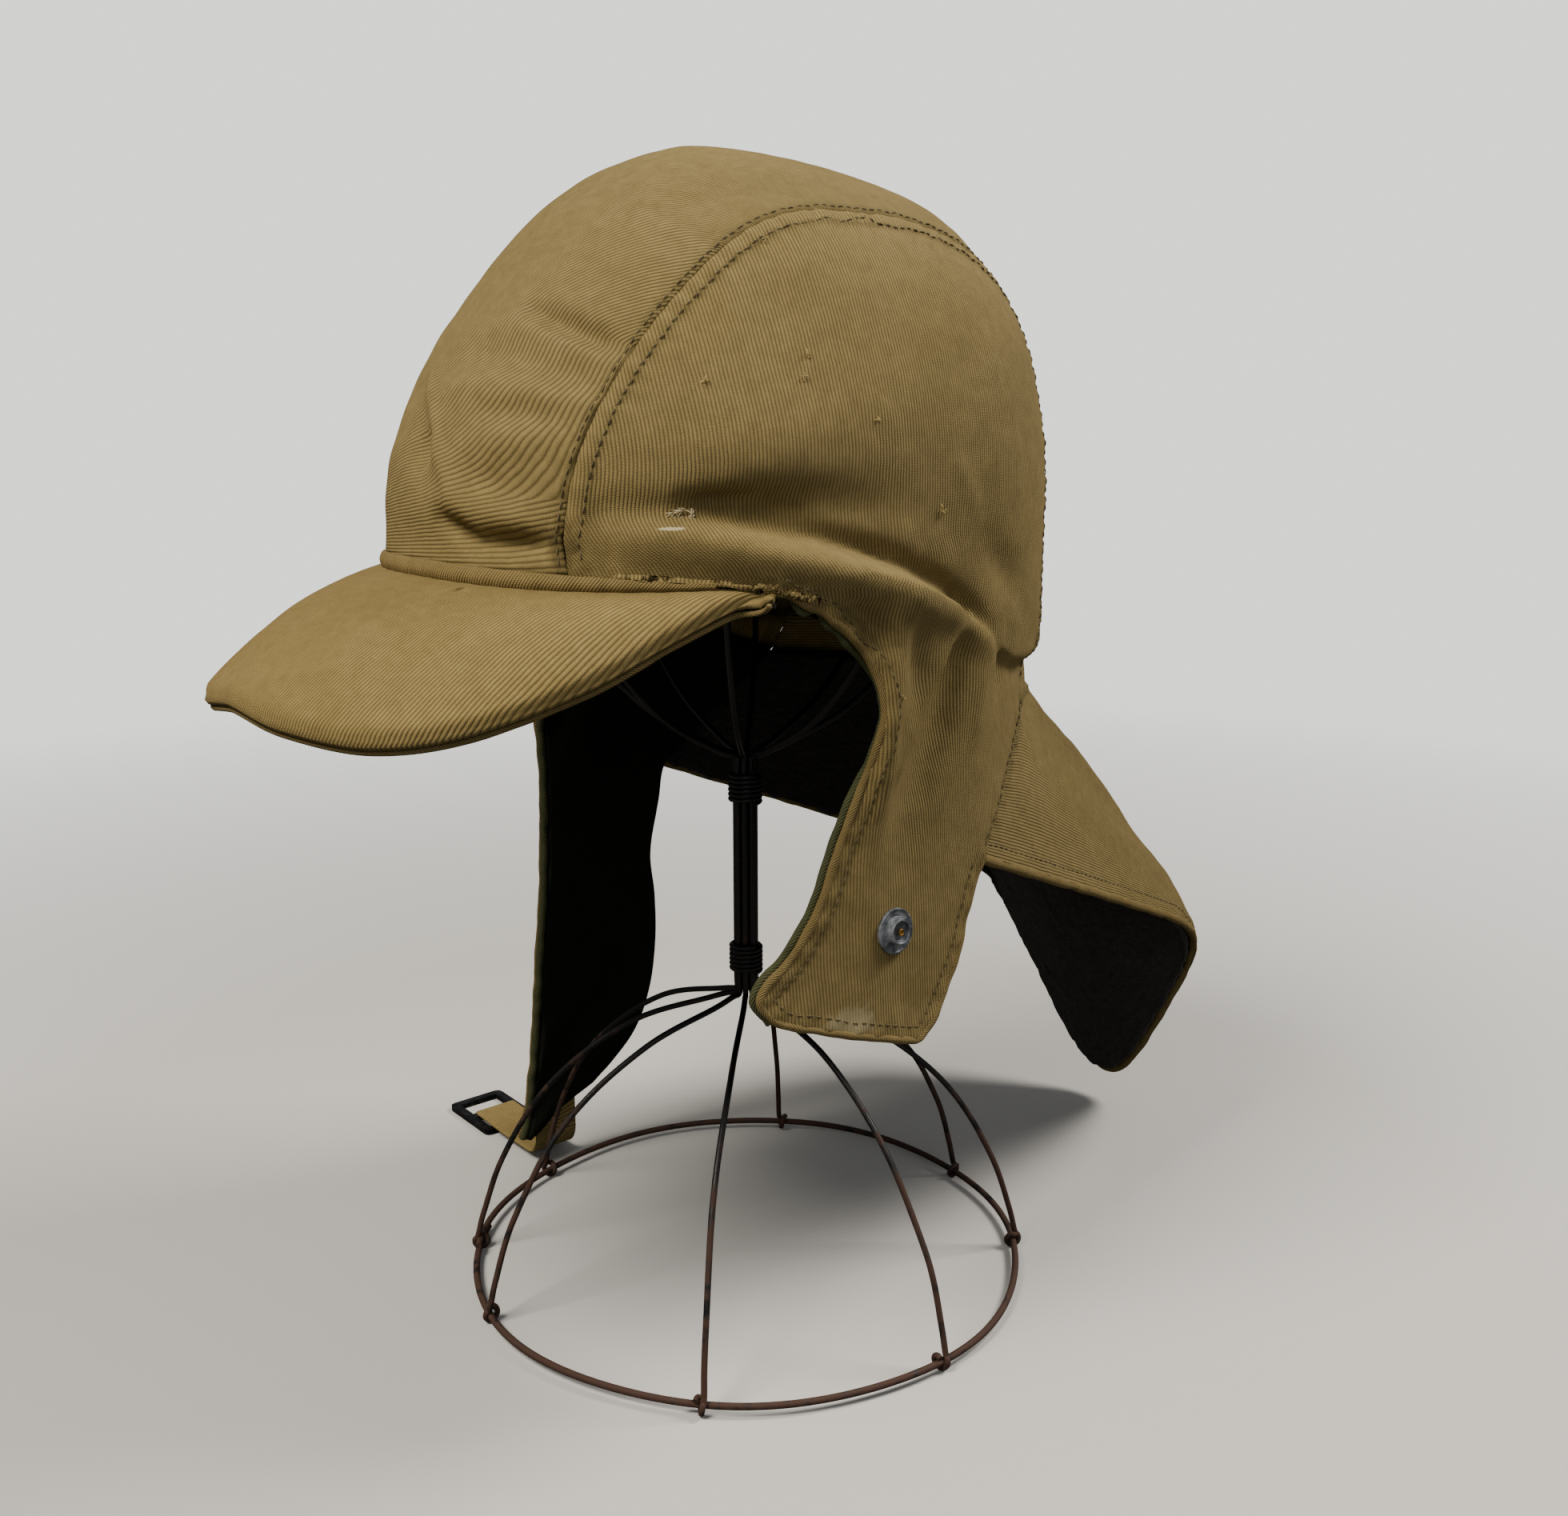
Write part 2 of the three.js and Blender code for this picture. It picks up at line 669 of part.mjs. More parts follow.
// Snap stud, a flange and a necked post with a bore, square to the left ear flap.
function snapStud() {
  const neck = studRadius * 0.86;
  const base = studHeight * 0.22;
  const profile = [
    [0, 0], [studFlangeRadius, 0], [studFlangeRadius, base * 0.6], [studRadius * 1.3, base],
    [neck, base * 1.3], [neck, studHeight * 0.62], [studRadius, studHeight * 0.76],
    [studRadius * 0.86, studHeight], [studBore, studHeight], [studBore, studHeight * 0.5],
    [0, studHeight * 0.5],
  ];
  const mesh = named('snap_stud', latheSolid(profile, studSides), finish(gunmetal, 0.4, 0.9));
  const surface = (y, z) => {
    const point = drape(new THREE.Vector3(crownHalfWidthAt(y, z), y, z));
    point.x += earFlare * (z / earDropRight) ** 2;
    return point;
  };
  const place = surface(studY, -studDepth);
  const alongY = surface(studY + studFlangeRadius, -studDepth).sub(surface(studY - studFlangeRadius, -studDepth));
  const alongZ = surface(studY, studFlangeRadius - studDepth).sub(surface(studY, -studFlangeRadius - studDepth));
  const normal = alongY.cross(alongZ).normalize();
  mesh.quaternion.setFromUnitVectors(new THREE.Vector3(0, 0, 1), normal);
  mesh.position.copy(place).addScaledVector(normal, 2 * clearance);
  return mesh;
}

// Strap on the right ear flap's end: it drops to the floor, turns outwards and lies flat.
const floor = -rimAboveFloor;

function flapEnd() {
  const surface = sideSurface(-1, rightRows);
  const front = surface(1, 0.12);
  const rear = surface(1, 0.88);
  return { front, rear };
}

function strapPath() {
  const { front, rear } = flapEnd();
  const middle = front.clone().lerp(rear, 0.5);
  const x = middle.x + clothWall;
  const low = floor + slideWall + clearance * 3;
  const drop = middle.z - low - strapBend;
  return { x, y: middle.y, top: middle.z, slope: (rear.z - front.z) / (rear.y - front.y), low, drop };
}

function strap() {
  const path = strapPath();
  const arc = (strapBend * Math.PI) / 2;
  const surface = (u, v) => {
    const across = (v - 0.5) * strapWidth;
    const s = u * strapLength;
    const y = path.y + across;
    if (s < path.drop) {
      const end = path.top + path.slope * across - 2 * clearance;
      return new THREE.Vector3(path.x, y, THREE.MathUtils.lerp(end, path.low + strapBend, s / path.drop));
    }
    if (s < path.drop + arc) {
      const turn = (s - path.drop) / strapBend;
      return new THREE.Vector3(
        path.x - strapBend * (1 - Math.cos(turn)),
        y,
        path.low + strapBend * (1 - Math.sin(turn)),
      );
    }
    return new THREE.Vector3(path.x - strapBend - (s - path.drop - arc), y, path.low);
  };
  const geometry = sheetSolid(surface, evenly(strapSteps), evenly(2), 0, strapWall);
  return named('chin_strap', geometry, finish(webbing, 0.9, 0));
}

function roundedCorners(halfLength, halfWidth, radius) {
  const points = [];
  for (let i = 0; i < 4; i += 1) {
    const signX = i === 0 || i === 3 ? 1 : -1;
    const signY = i < 2 ? 1 : -1;
    for (const share of [0, 0.5, 1]) {
      const angle = ((i + share) * Math.PI) / 2;
      points.push(new THREE.Vector2(
        signX * (halfLength - radius) + radius * Math.cos(angle),
        signY * (halfWidth - radius) + radius * Math.sin(angle),
      ));
    }
  }
  return points;
}

function toSolid(geometry) {
  geometry.deleteAttribute('normal');
  geometry.deleteAttribute('uv');
  const merged = mergeVertices(geometry, 1e-4);
  return new wasm.Manifold(new wasm.Mesh({
    numProp: 3,
    vertProperties: merged.attributes.position.array,
    triVerts: Uint32Array.from(merged.index.array),
  }));
}

function toGeometry(solid) {
  const mesh = solid.getMesh();
  const geometry = new THREE.BufferGeometry();
  geometry.setAttribute('position', new THREE.BufferAttribute(mesh.vertProperties, 3));
  geometry.setIndex(new THREE.BufferAttribute(mesh.triVerts, 1));
  return geometry;
}

// Three-bar slide, flat on the floor under the strap's end.
function strapSlide() {
  const path = strapPath();
  const halfLength = slideLength / 2;
  const halfWidth = slideWidth / 2;
  const outline = new THREE.Shape(roundedCorners(halfLength, halfWidth, slideCorner));
  const slot = (slideLength - 3 * slideBar) / 2;
  let solid = toSolid(new THREE.ExtrudeGeometry(outline, { depth: slideWall, bevelEnabled: false }));
  for (const side of [-1, 1]) {
    const cutter = new THREE.BoxGeometry(slot, slideWidth - 2 * slideBar, 3 * slideWall);
    cutter.translate((side * (slot + slideBar)) / 2, 0, 0);
    solid = solid.subtract(toSolid(cutter));
  }
  const geometry = toGeometry(solid);
  const mesh = named('strap_slide', geometry, finish(gunmetal, 0.5, 0.8));
  const end = path.x - strapBend - (strapLength - path.drop - (strapBend * Math.PI) / 2);
  mesh.position.set(end + slideBar - halfLength + slot, path.y, floor + clearance);
  return mesh;
}

// Wire stand: eight wires from a base ring up through a bound post to a cage in the crown.
// Each foot's direction round the post, in degrees, and the base cage's outline as shares of
// the ring's radius and of the height from the ring to the post's lower end.
const footAngles = [-163, -129, -100, -46, 2, 52, 85, 134];
const firstWireAngle = -177.5;
const baseOutline = [
  { radius: 0.06, height: 0.995 },
  { radius: 0.13, height: 0.975 },
  { radius: 0.42, height: 0.88 },
  { radius: 0.72, height: 0.64 },
  { radius: 0.91, height: 0.34 },
  { radius: 0.985, height: 0.12 },
];

// The spread under the crown, as shares of the head cage's radius and of the height from the
// post's upper end to the crown's widest height.
const headOutline = [
  { radius: 0.085, height: 0.01 },
  { radius: 0.18, height: 0.04 },
  { radius: 0.5, height: 0.2 },
  { radius: 0.84, height: 0.52 },
  { radius: 0.98, height: 0.82 },
];

function polar(radius, degrees, z) {
  const angle = THREE.MathUtils.degToRad(degrees);
  return new THREE.Vector3(radius * Math.cos(angle), radius * Math.sin(angle), z);
}

function standWire(index) {
  const even = firstWireAngle + (360 / footAngles.length) * index;
  const foot = footAngles[index];
  const ringTop = floor + ringWire + clearance;
  const points = [polar(ringRadius, foot, ringTop)];
  for (const row of [...baseOutline].reverse()) {
    const z = THREE.MathUtils.lerp(ringTop, postBottom, row.height);
    const angle = THREE.MathUtils.lerp(even, foot, ease(0, 0.7, row.radius));
    points.push(polar(row.radius * ringRadius, angle, z));
  }
  for (const share of [0, 0.06, 0.5, 0.94, 1]) {
    points.push(polar(bundleRadius, even, THREE.MathUtils.lerp(postBottom, postTop, share)));
  }
  for (const row of headOutline) {
    const z = THREE.MathUtils.lerp(postTop, widestHeight, row.height);
    points.push(polar(row.radius * headDomeRadius, even, z));
  }
  const domeTop = widestHeight + crownRise - liningDepth - liningWall - 4 * clearance - wireRadius;
  const last = Math.acos(bundleRadius / headDomeRadius);
  for (const share of [0, 0.25, 0.5, 0.75, 1]) {
    const climb = last * share;
    const z = THREE.MathUtils.lerp(widestHeight, domeTop, Math.sin(climb));
    points.push(polar(headDomeRadius * Math.cos(climb), even, z));
  }
  const section = new THREE.Shape();
  for (let i = 0; i < wireSides; i += 1) {
    const angle = (2 * Math.PI * i) / wireSides;
    const x = wireRadius * Math.cos(angle);
    const y = wireRadius * Math.sin(angle);
    if (i === 0) {
      section.moveTo(x, y);
    } else {
      section.lineTo(x, y);
    }
  }
  section.closePath();
  const geometry = new THREE.ExtrudeGeometry(section, {
    steps: wireSteps,
    bevelEnabled: false,
    extrudePath: new THREE.CatmullRomCurve3(points, false, 'centripetal'),
  });
  return named(`stand_wire_${index + 1}`, geometry, finish(wireBlack, 0.6, 0.7));
}

function baseRing() {
  const half = ringWire / 2;
  const flat = half * 0.6;
  const profile = [
    [ringRadius - flat, 0], [ringRadius + flat, 0], [ringRadius + half, half],
    [ringRadius + flat, ringWire], [ringRadius - flat, ringWire], [ringRadius - half, half],
    [ringRadius - flat, 0],
  ];
  const mesh = named('base_ring', latheSolid(profile, ringSides), finish(wireBlack, 0.6, 0.7));
  mesh.position.z = floor;
  return mesh;
}

function binding(name, z) {
  const inner = bundleRadius + wireRadius + clearance;
  const valley = inner + bindingWall * 0.6;
  const crest = inner + bindingWall;
  const pitch = bindingHeight / bindingCoils;
  const profile = [[inner, 0]];
  for (let i = 0; i < bindingCoils; i += 1) {
    profile.push([valley, i * pitch], [crest, (i + 0.5) * pitch]);
  }
  profile.push([valley, bindingHeight], [inner, bindingHeight], [inner, 0]);
  const mesh = named(name, latheSolid(profile, 12), finish(wireBlack, 0.6, 0.7));
  mesh.position.z = z;
  return mesh;
}

const hat = new THREE.Group();
hat.add(centrePanel());
hat.add(sidePanel('side_panel_left', 1, leftRows));
hat.add(sidePanel('side_panel_right', -1, rightRows));
hat.add(neckFlap());
hat.add(bill());
hat.add(billWelt());
hat.add(crownLining());
hat.add(earLining('lining_ear_left', 1, leftRows));
hat.add(earLining('lining_ear_right', -1, rightRows));
hat.add(neckLining());
hat.add(snapStud());
hat.add(strap());
hat.add(strapSlide());

const stand = new THREE.Group();
for (let i = 0; i < footAngles.length; i += 1) {
  stand.add(standWire(i));
}
stand.add(baseRing());
stand.add(binding('binding_upper', postTop - upperBindingDrop - bindingHeight));
stand.add(binding('binding_lower', postBottom + lowerBindingRise));

const model = new THREE.Group();
model.add(hat, stand);
model.updateMatrixWorld(true);
const box = new THREE.Box3().setFromObject(model, true);
const middle = box.getCenter(new THREE.Vector3());
model.position.set(-middle.x, -middle.y, -box.min.z);

export default model;
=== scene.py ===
# Deck cap with ear flaps, a neck flap and a short bill, on its wire hat stand.
# Cloth is laid out in millimetres round the stand's post, z = 0 at the hat's rim,
# and goes into the row's frame in metres when its mesh is made.
import bpy
import math
import numpy as np
from mathutils import Matrix, Vector, kdtree, noise


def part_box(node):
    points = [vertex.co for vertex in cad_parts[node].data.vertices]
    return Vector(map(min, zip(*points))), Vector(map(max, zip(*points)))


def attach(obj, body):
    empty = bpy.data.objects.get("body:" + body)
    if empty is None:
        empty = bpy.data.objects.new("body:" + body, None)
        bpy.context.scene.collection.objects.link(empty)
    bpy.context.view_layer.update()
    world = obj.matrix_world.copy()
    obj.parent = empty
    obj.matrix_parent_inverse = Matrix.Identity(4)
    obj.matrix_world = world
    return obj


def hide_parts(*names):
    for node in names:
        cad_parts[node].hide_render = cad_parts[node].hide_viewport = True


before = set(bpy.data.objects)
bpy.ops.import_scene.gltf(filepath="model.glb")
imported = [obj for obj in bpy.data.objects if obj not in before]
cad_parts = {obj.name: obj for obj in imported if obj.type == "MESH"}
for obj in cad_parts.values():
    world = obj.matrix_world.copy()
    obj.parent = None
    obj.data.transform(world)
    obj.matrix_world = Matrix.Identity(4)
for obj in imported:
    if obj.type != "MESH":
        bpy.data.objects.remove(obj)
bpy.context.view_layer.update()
chance = np.random.default_rng(7)

print("stage: measures")
ringLow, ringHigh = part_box("base_ring")
rimHeight = 255  # hat's rim above the floor
floorZ = -rimHeight
shift = np.array([(ringLow.x + ringHigh.x) * 500, (ringLow.y + ringHigh.y) * 500, rimHeight])

crown = {"halfWidth": 88, "front": 108, "back": 118, "rise": 110, "centreY": -10, "widest": 20,
         "power": 2.2, "frontPower": 1.68, "backPower": 2.4, "rimFront": 9, "nape": 44, "flare": 1.5}
cloth = {"wall": 1.6, "lining": 2.2, "layerGap": 0.9, "seam": 0.3}
ribPitch = 1.1
nearestStep = 0.35  # spacing of the points that distances are measured from

# how far the rows of stitches lie from their seam or edge, and how wide the raised cloth is there
stitchRow = {"centre": 1.7, "side": 5.1, "neck": 2.2, "neckSide": 1.8, "flapHem": 4.2, "neckHem": 5.2}
allowance = {"centre": 2.0, "side": 5.3, "neck": 2.4, "neckSide": 2}
stitch = {"length": 2.5, "gap": 0.7, "radius": 0.24, "sunk": 0.3, "sides": 6}
stitchPitch = stitch["length"] + stitch["gap"]
seamShape = {"raised": 0.5, "groove": 0.55, "grooveWidth": 0.8, "pucker": 0.3, "puckerPitch": 7.5,
             "sink": 0.42, "rowWidth": 0.9, "rowWear": 0.4, "seamWear": 0.2}
hemShape = {"raised": 0.45, "pucker": 0.35, "puckerPitch": 9, "sink": 0.3, "rowWidth": 0.9, "wear": 0.35}


# plain helpers

def ease(low, high, value):
    t = np.clip((value - low) / (high - low), 0, 1)
    return t * t * (3 - 2 * t)


def unit(vectors):
    return vectors / (np.linalg.norm(vectors, axis=-1, keepdims=True) + 1e-9)


def smooth(at, places, values):
    places = np.asarray(places, float)
    values = np.asarray(values, float)
    slopes = np.diff(values) / np.diff(places)
    tangents = np.concatenate([slopes[:1], (slopes[:-1] + slopes[1:]) / 2, slopes[-1:]])
    i = np.clip(np.searchsorted(places, at, side="right") - 1, 0, len(places) - 2)
    gap = places[i + 1] - places[i]
    t = np.clip((at - places[i]) / gap, 0, 1)
    ends = values[i] * (1 + 2 * t) * (1 - t) ** 2 + values[i + 1] * t * t * (3 - 2 * t)
    return ends + gap * (tangents[i] * t * (1 - t) ** 2 - tangents[i + 1] * t * t * (1 - t))


def table(columns, *rows):
    return [dict(zip(columns.split(), row)) for row in rows]


def column(rows, name):
    return [row[name] for row in rows]


def lumps(points, size, seed):
    flat = points.reshape(-1, 3) / size + seed * 13.7
    values = [noise.noise(Vector(p)) for p in flat]
    return np.array(values).reshape(points.shape[:-1])


def arcLength(path):
    steps = np.linalg.norm(np.diff(path, axis=0), axis=1)
    return np.concatenate([[0], np.cumsum(steps)])


def between(places, along, values):
    return np.stack([np.interp(places, along, values[:, k]) for k in range(values.shape[1])], axis=1)


def movingMean(path, count=5):
    kernel = np.ones(count) / count
    return np.stack([np.convolve(path[:, k], kernel, "valid") for k in range(path.shape[1])], axis=1)


def resample(path, step):
    along = arcLength(path)
    places = np.linspace(0, along[-1], max(int(along[-1] / step), 2) + 1)
    return between(places, along, path)


def treeOf(points):
    tree = kdtree.KDTree(len(points))
    for i, p in enumerate(points):
        tree.insert(p, i)
    tree.balance()
    return tree


def nearest(path, points):
    dense = resample(path, nearestStep)
    tree = treeOf(dense)
    found = [tree.find(p)[1:] for p in points.reshape(-1, 3)]
    along = arcLength(dense)
    places = along[[f[0] for f in found]].reshape(points.shape[:-1])
    return np.array([f[1] for f in found]).reshape(points.shape[:-1]), places


# crown surface

seamTable = {"station": [-1, 0, 0.2, 0.5, 0.65, 0.8, 1, 2],
             "x": [0.6, 0.585, 0.62, 0.66, 0.63, 0.56, 0.6, 0.79]}
shoulderTable = {"y": [-0.94, -0.66, -0.47, -0.17, 0.08, 0.3, 0.52, 0.9],
                 "height": [0.17, 0.19, 0.16, 0.09, 0, -0.1, -0.25, -0.27],
                 "bulge": [0, 0.2, 0.5, 1, 0.9, 0.45, -0.35, -0.6]}

# broad folds, as shares of the crown's size: place, direction, length, width, depth, both sides
foldTable = table(
    "at run length width depth both",
    ((0.95, -0.42, 0.24), (0, 1, -0.08), 0.42, 0.06, -0.035, True),
    ((0.9, -0.3, 0.4), (0, 1, 0.1), 0.5, 0.12, 0.02, True),
    ((0.42, -1, 0.6), (1, 0.3, -0.75), 0.22, 0.07, -0.06, False),
    ((0.3, -1.08, 0.42), (1, 0.2, -0.4), 0.25, 0.09, 0.035, False),
    ((0.15, -1.08, 0.12), (1, 0.1, -0.1), 0.32, 0.06, -0.05, False),
    ((-0.35, -1, 0.55), (0.2, 0.2, 1), 0.5, 0.09, 0.045, False),
    ((-0.62, -0.75, 0.5), (0, 0.3, 1), 0.45, 0.12, -0.06, False),
    ((0.35, 0.25, 1.15), (0.3, 1, 0), 0.3, 0.12, -0.03, True),
    ((1, 0.14, -0.3), (0, -0.5, -1), 0.4, 0.08, -0.045, True),
    ((1, -0.08, -0.35), (0, -0.15, -1), 0.5, 0.07, 0.03, True),
)

# narrow creases and ridges in mm, from one end to the other
creaseTable = table(
    "start end width depth both",
    ((22, -92, 79), (51, -84, 68), 3.4, -4.2, False),
    ((6, -101, 68), (49, -91, 59), 6, -3.6, False),
    ((3, -107, 57), (46, -94, 53), 5, 2.2, False),
    ((26, -106, 51), (46, -98, 49), 4, -1.8, False),
    ((26, -109, 43), (44, -101, 43), 5, 1.8, False),
    ((22, -113, 33), (42, -107, 28), 6, -1.8, False),
    ((12, -117, 21), (26, -114.5, 15.5), 2.8, -4.2, False),
    ((26, -114.5, 15.5), (48, -105, 15.5), 2.8, -4.8, False),
    ((10, -115, 26), (44, -106, 22), 4.5, 2.8, False),
    ((-13, -104, 62), (4, -112, 40), 3.6, 2.6, False),
    ((4, -112, 40), (20, -115, 26), 3.6, 2.4, False),
    ((-8, -111, 46), (-2, -114, 34), 6, -4.5, False),
    ((60, -89, 26.5), (84, -46, 25), 4, -2.6, True),
    ((72, -76, 27), (81, -58, 26.5), 2.8, -4.2, True),
    ((58, -94, 22), (60, -92, 10), 3.5, -2, False),
    ((60, -91, 17), (82, -58, 12), 5, 1.6, True),
    ((92, -34, -2), (95, -22, -14), 4, -3, False),
    ((95, -28, -14), (94, -30, -60), 3.2, -2.2, True),
    ((96, -20, -14), (95, -23, -62), 3.4, 2.4, True),
    ((93, -12, -4), (96, -8, -34), 5, -2.8, True),
    ((90, 8, -12), (94, -15, -50), 3.8, 2.6, True),
    ((88, 16, -18), (92, -4, -58), 4.5, -2.6, True),
    ((84, 26, -22), (86, 20, -48), 4, 2.2, True),
    ((78, 44, -20), (80, 36, -40), 4, -2.6, True),
    ((84, 30, 10), (78, 48, -4), 7, -2.6, True),
    ((84, 22, 20), (85, 10, 40), 5, 0.9, False),
    ((40, -60, 108), (52, -20, 112), 6, -1.2, True),
)


def outlineRadius(angle):
    reach = np.where(np.cos(angle) < 0, crown["front"], crown["back"])
    along = np.abs(np.cos(angle)) / reach
    up = np.maximum(np.sin(angle), 0) / crown["rise"]
    power = crown["frontPower"] + (crown["backPower"] - crown["frontPower"]) * ease(-0.8, 0.5, np.cos(angle))
    return (along ** power + up ** power) ** (-1 / power)


def rimZ(x):
    return crown["rimFront"] * (1 - 0.5 * (x / crown["halfWidth"]) ** 2)


def seamX(station):
    return crown["halfWidth"] * smooth(station, seamTable["station"], seamTable["x"])


def halfWidthAt(y, z):
    back = y - crown["centreY"]
    up = np.maximum(z - crown["widest"], 0)
    share = np.minimum(np.hypot(back, up) / outlineRadius(np.arctan2(up, back)), 0.99)
    return crown["halfWidth"] * (1 - share ** crown["power"]) ** (1 / crown["power"])


def crownPoint(x, station):
    x, station = np.broadcast_arrays(np.asarray(x, float), np.asarray(station, float))
    shrink = (1 - np.abs(x / crown["halfWidth"]) ** crown["power"]) ** (1 / crown["power"])
    angle = np.pi * (1 - np.clip(station, 0, 1))
    radius = outlineRadius(angle) * shrink
    z = crown["widest"] + radius * np.sin(angle)
    z = z + np.minimum(station, 0) * (crown["widest"] - rimZ(x))
    z = z - np.maximum(station - 1, 0) * (crown["widest"] + crown["nape"])
    return np.stack([x, crown["centreY"] + radius * np.cos(angle), z], axis=-1)


def bothSides(rows, keys):
    out = []
    for row in rows:
        out.append(row)
        if row["both"]:
            out.append({**row, **{k: (-row[k][0], row[k][1], row[k][2]) for k in keys}})
    return out


def foldHeight(points):
    height = np.zeros(points.shape[:-1])
    for row in bothSides(foldTable, ("at", "run")):
        sizes = np.array([crown["halfWidth"], crown["front"], crown["rise"]])
        place = np.array(row["at"]) * sizes + (0, crown["centreY"], 0)
        run = unit(np.array(row["run"], float))
        offset = points - place
        along = offset @ run
        across = np.linalg.norm(offset - along[..., None] * run, axis=-1)
        spent = (along / (row["length"] * crown["rise"])) ** 2
        spent += (across / (row["width"] * crown["rise"])) ** 2
        height += row["depth"] * crown["rise"] * np.exp(-spent)
    return height


def creaseHeight(points):
    height = np.zeros(points.shape[:-1])
    for row in bothSides(creaseTable, ("start", "end")):
        start, end = np.array(row["start"], float), np.array(row["end"], float)
        line = end - start
        share = np.clip((points - start) @ line / (line @ line), 0, 1)
        away = np.linalg.norm(points - start - share[..., None] * line, axis=-1)
        swell = 0.35 + 0.65 * np.sin(np.pi * np.clip(share, 0.02, 0.98)) ** 0.7
        height += row["depth"] * swell * np.exp(-(away / row["width"]) ** 2)
    return height


shoulder = {"bulge": 9, "full": 5, "fade": 38, "kept": 0.2, "softness": 2.6}
lip = {"rise": 2.4, "riseBelow": 6, "riseWidth": 6, "tuck": 3.2, "tuckAbove": 3.5, "tuckWidth": 4}


def shoulderHeight(points):
    y = (points[..., 1] - crown["centreY"]) / crown["front"]
    level = smooth(y, shoulderTable["y"], shoulderTable["height"])
    below = crown["rise"] * level - points[..., 2]
    bulge = shoulder["bulge"] * smooth(y, shoulderTable["y"], shoulderTable["bulge"])
    fade = shoulder["kept"] + (1 - shoulder["kept"]) * np.exp(-np.maximum(below, 0) / shoulder["fade"])
    risen = lip["rise"] * np.exp(-((below - lip["riseBelow"]) / lip["riseWidth"]) ** 2)
    tucked = lip["tuck"] * np.exp(-((below + lip["tuckAbove"]) / lip["tuckWidth"]) ** 2)
    share = np.clip(bulge / shoulder["full"], 0, 1)
    return bulge * ease(-shoulder["softness"], shoulder["softness"], below) * fade + share * (risen - tucked)


def drape(points):
    away = np.stack([points[..., 0] / crown["halfWidth"] ** 2,
                     (points[..., 1] - crown["centreY"]) / crown["front"] ** 2,
                     np.maximum(points[..., 2] - crown["widest"], 0) / crown["rise"] ** 2], axis=-1)
    height = foldHeight(points) + shoulderHeight(points)
    moved = points + unit(away) * height[..., None]
    frontness = ease(0.5, 1, (crown["centreY"] - points[..., 1]) / crown["front"])
    lowness = 1 - ease(crown["rimFront"] / 3, crown["widest"], points[..., 2])
    moved[..., 1] -= crown["flare"] * frontness * lowness
    return moved


def normalsOf(points):
    down = np.gradient(points, axis=0)
    across = np.gradient(points, axis=1)
    return unit(np.cross(down, across))


# mesh parts: vertices in mm, faces, a coordinate along and across the ribs, and wear from 0 to 1

def part(vertices, faces, uv, wear):
    return {"vertices": vertices, "faces": faces, "uv": uv, "wear": wear}


def sheetPart(points, wall, uv, wear=None, under=None):
    rows, columns = points.shape[:2]
    normals = normalsOf(points)
    inner = points - (wall if under is None else wall + under[..., None]) * normals
    count = rows * columns
    index = np.arange(count).reshape(rows, columns)
    a, b, c, d = index[:-1, :-1], index[1:, :-1], index[1:, 1:], index[:-1, 1:]
    faces = np.stack([a, b, c, d], -1).reshape(-1, 4).tolist()
    faces += (np.stack([a, d, c, b], -1).reshape(-1, 4) + count).tolist()
    loop = np.concatenate([index[:-1, 0], index[-1, :-1], index[:0:-1, -1], index[0, :0:-1]])
    inside = np.concatenate([index[:-1, 1], index[-2, :-1], index[:0:-1, -2], index[1, :0:-1]])
    flatOuter, flatInner = points.reshape(-1, 3), inner.reshape(-1, 3)
    middle = (flatOuter[loop] + flatInner[loop]) / 2
    middle = middle + unit(flatOuter[loop] - flatOuter[inside]) * wall * 0.4
    for k in range(len(loop)):
        n = (k + 1) % len(loop)
        faces.append([loop[k], 2 * count + k, 2 * count + n, loop[n]])
        faces.append([2 * count + k, count + loop[k], count + loop[n], 2 * count + n])
    flatUv = uv.reshape(-1, 2)
    flatWear = np.zeros(count) if wear is None else wear.reshape(-1)
    return part(np.concatenate([flatOuter, flatInner, middle]), faces,
                np.concatenate([flatUv, flatUv, flatUv[loop]]),
                np.concatenate([flatWear, flatWear, flatWear[loop]]))


def carried(path):
    tangents = unit(np.gradient(path, axis=0))
    up = np.empty_like(path)
    first = np.array([0.0, 0.0, 1.0]) if abs(tangents[0][2]) < 0.9 else np.array([1.0, 0.0, 0.0])
    up[0] = unit(first - tangents[0] * (first @ tangents[0]))
    for i in range(1, len(path)):
        kept = up[i - 1] - tangents[i] * (up[i - 1] @ tangents[i])
        up[i] = unit(kept)
    return up


def tubePart(path, width, height, sides=8, up=None, wear=0.0, twist=0.0):
    tangents = unit(np.gradient(path, axis=0))
    up = carried(path) if up is None else up
    across = unit(np.cross(tangents, up))
    up = np.cross(across, tangents)
    angles = np.arange(sides) / sides * 2 * np.pi
    ring = across[:, None] * np.cos(angles)[None, :, None] * np.reshape(width, (-1, 1, 1)) / 2
    ring = ring + up[:, None] * np.sin(angles)[None, :, None] * np.reshape(height, (-1, 1, 1)) / 2
    points = (path[:, None] + ring).reshape(-1, 3)
    rows = len(path)
    faces = []
    for i in range(rows - 1):
        for j in range(sides):
            n = (j + 1) % sides
            faces.append([i * sides + j, (i + 1) * sides + j, (i + 1) * sides + n, i * sides + n])
    faces.append(list(range(sides)))
    faces.append([(rows - 1) * sides + j for j in reversed(range(sides))])
    along = arcLength(path)[:, None] + np.zeros(sides)
    around = (angles / (2 * np.pi) * np.pi * np.mean(width))[None] + np.zeros((rows, 1))
    uv = np.stack([along + twist * around, around], axis=-1).reshape(-1, 2)
    return part(points, faces, uv, np.full(len(points), wear))


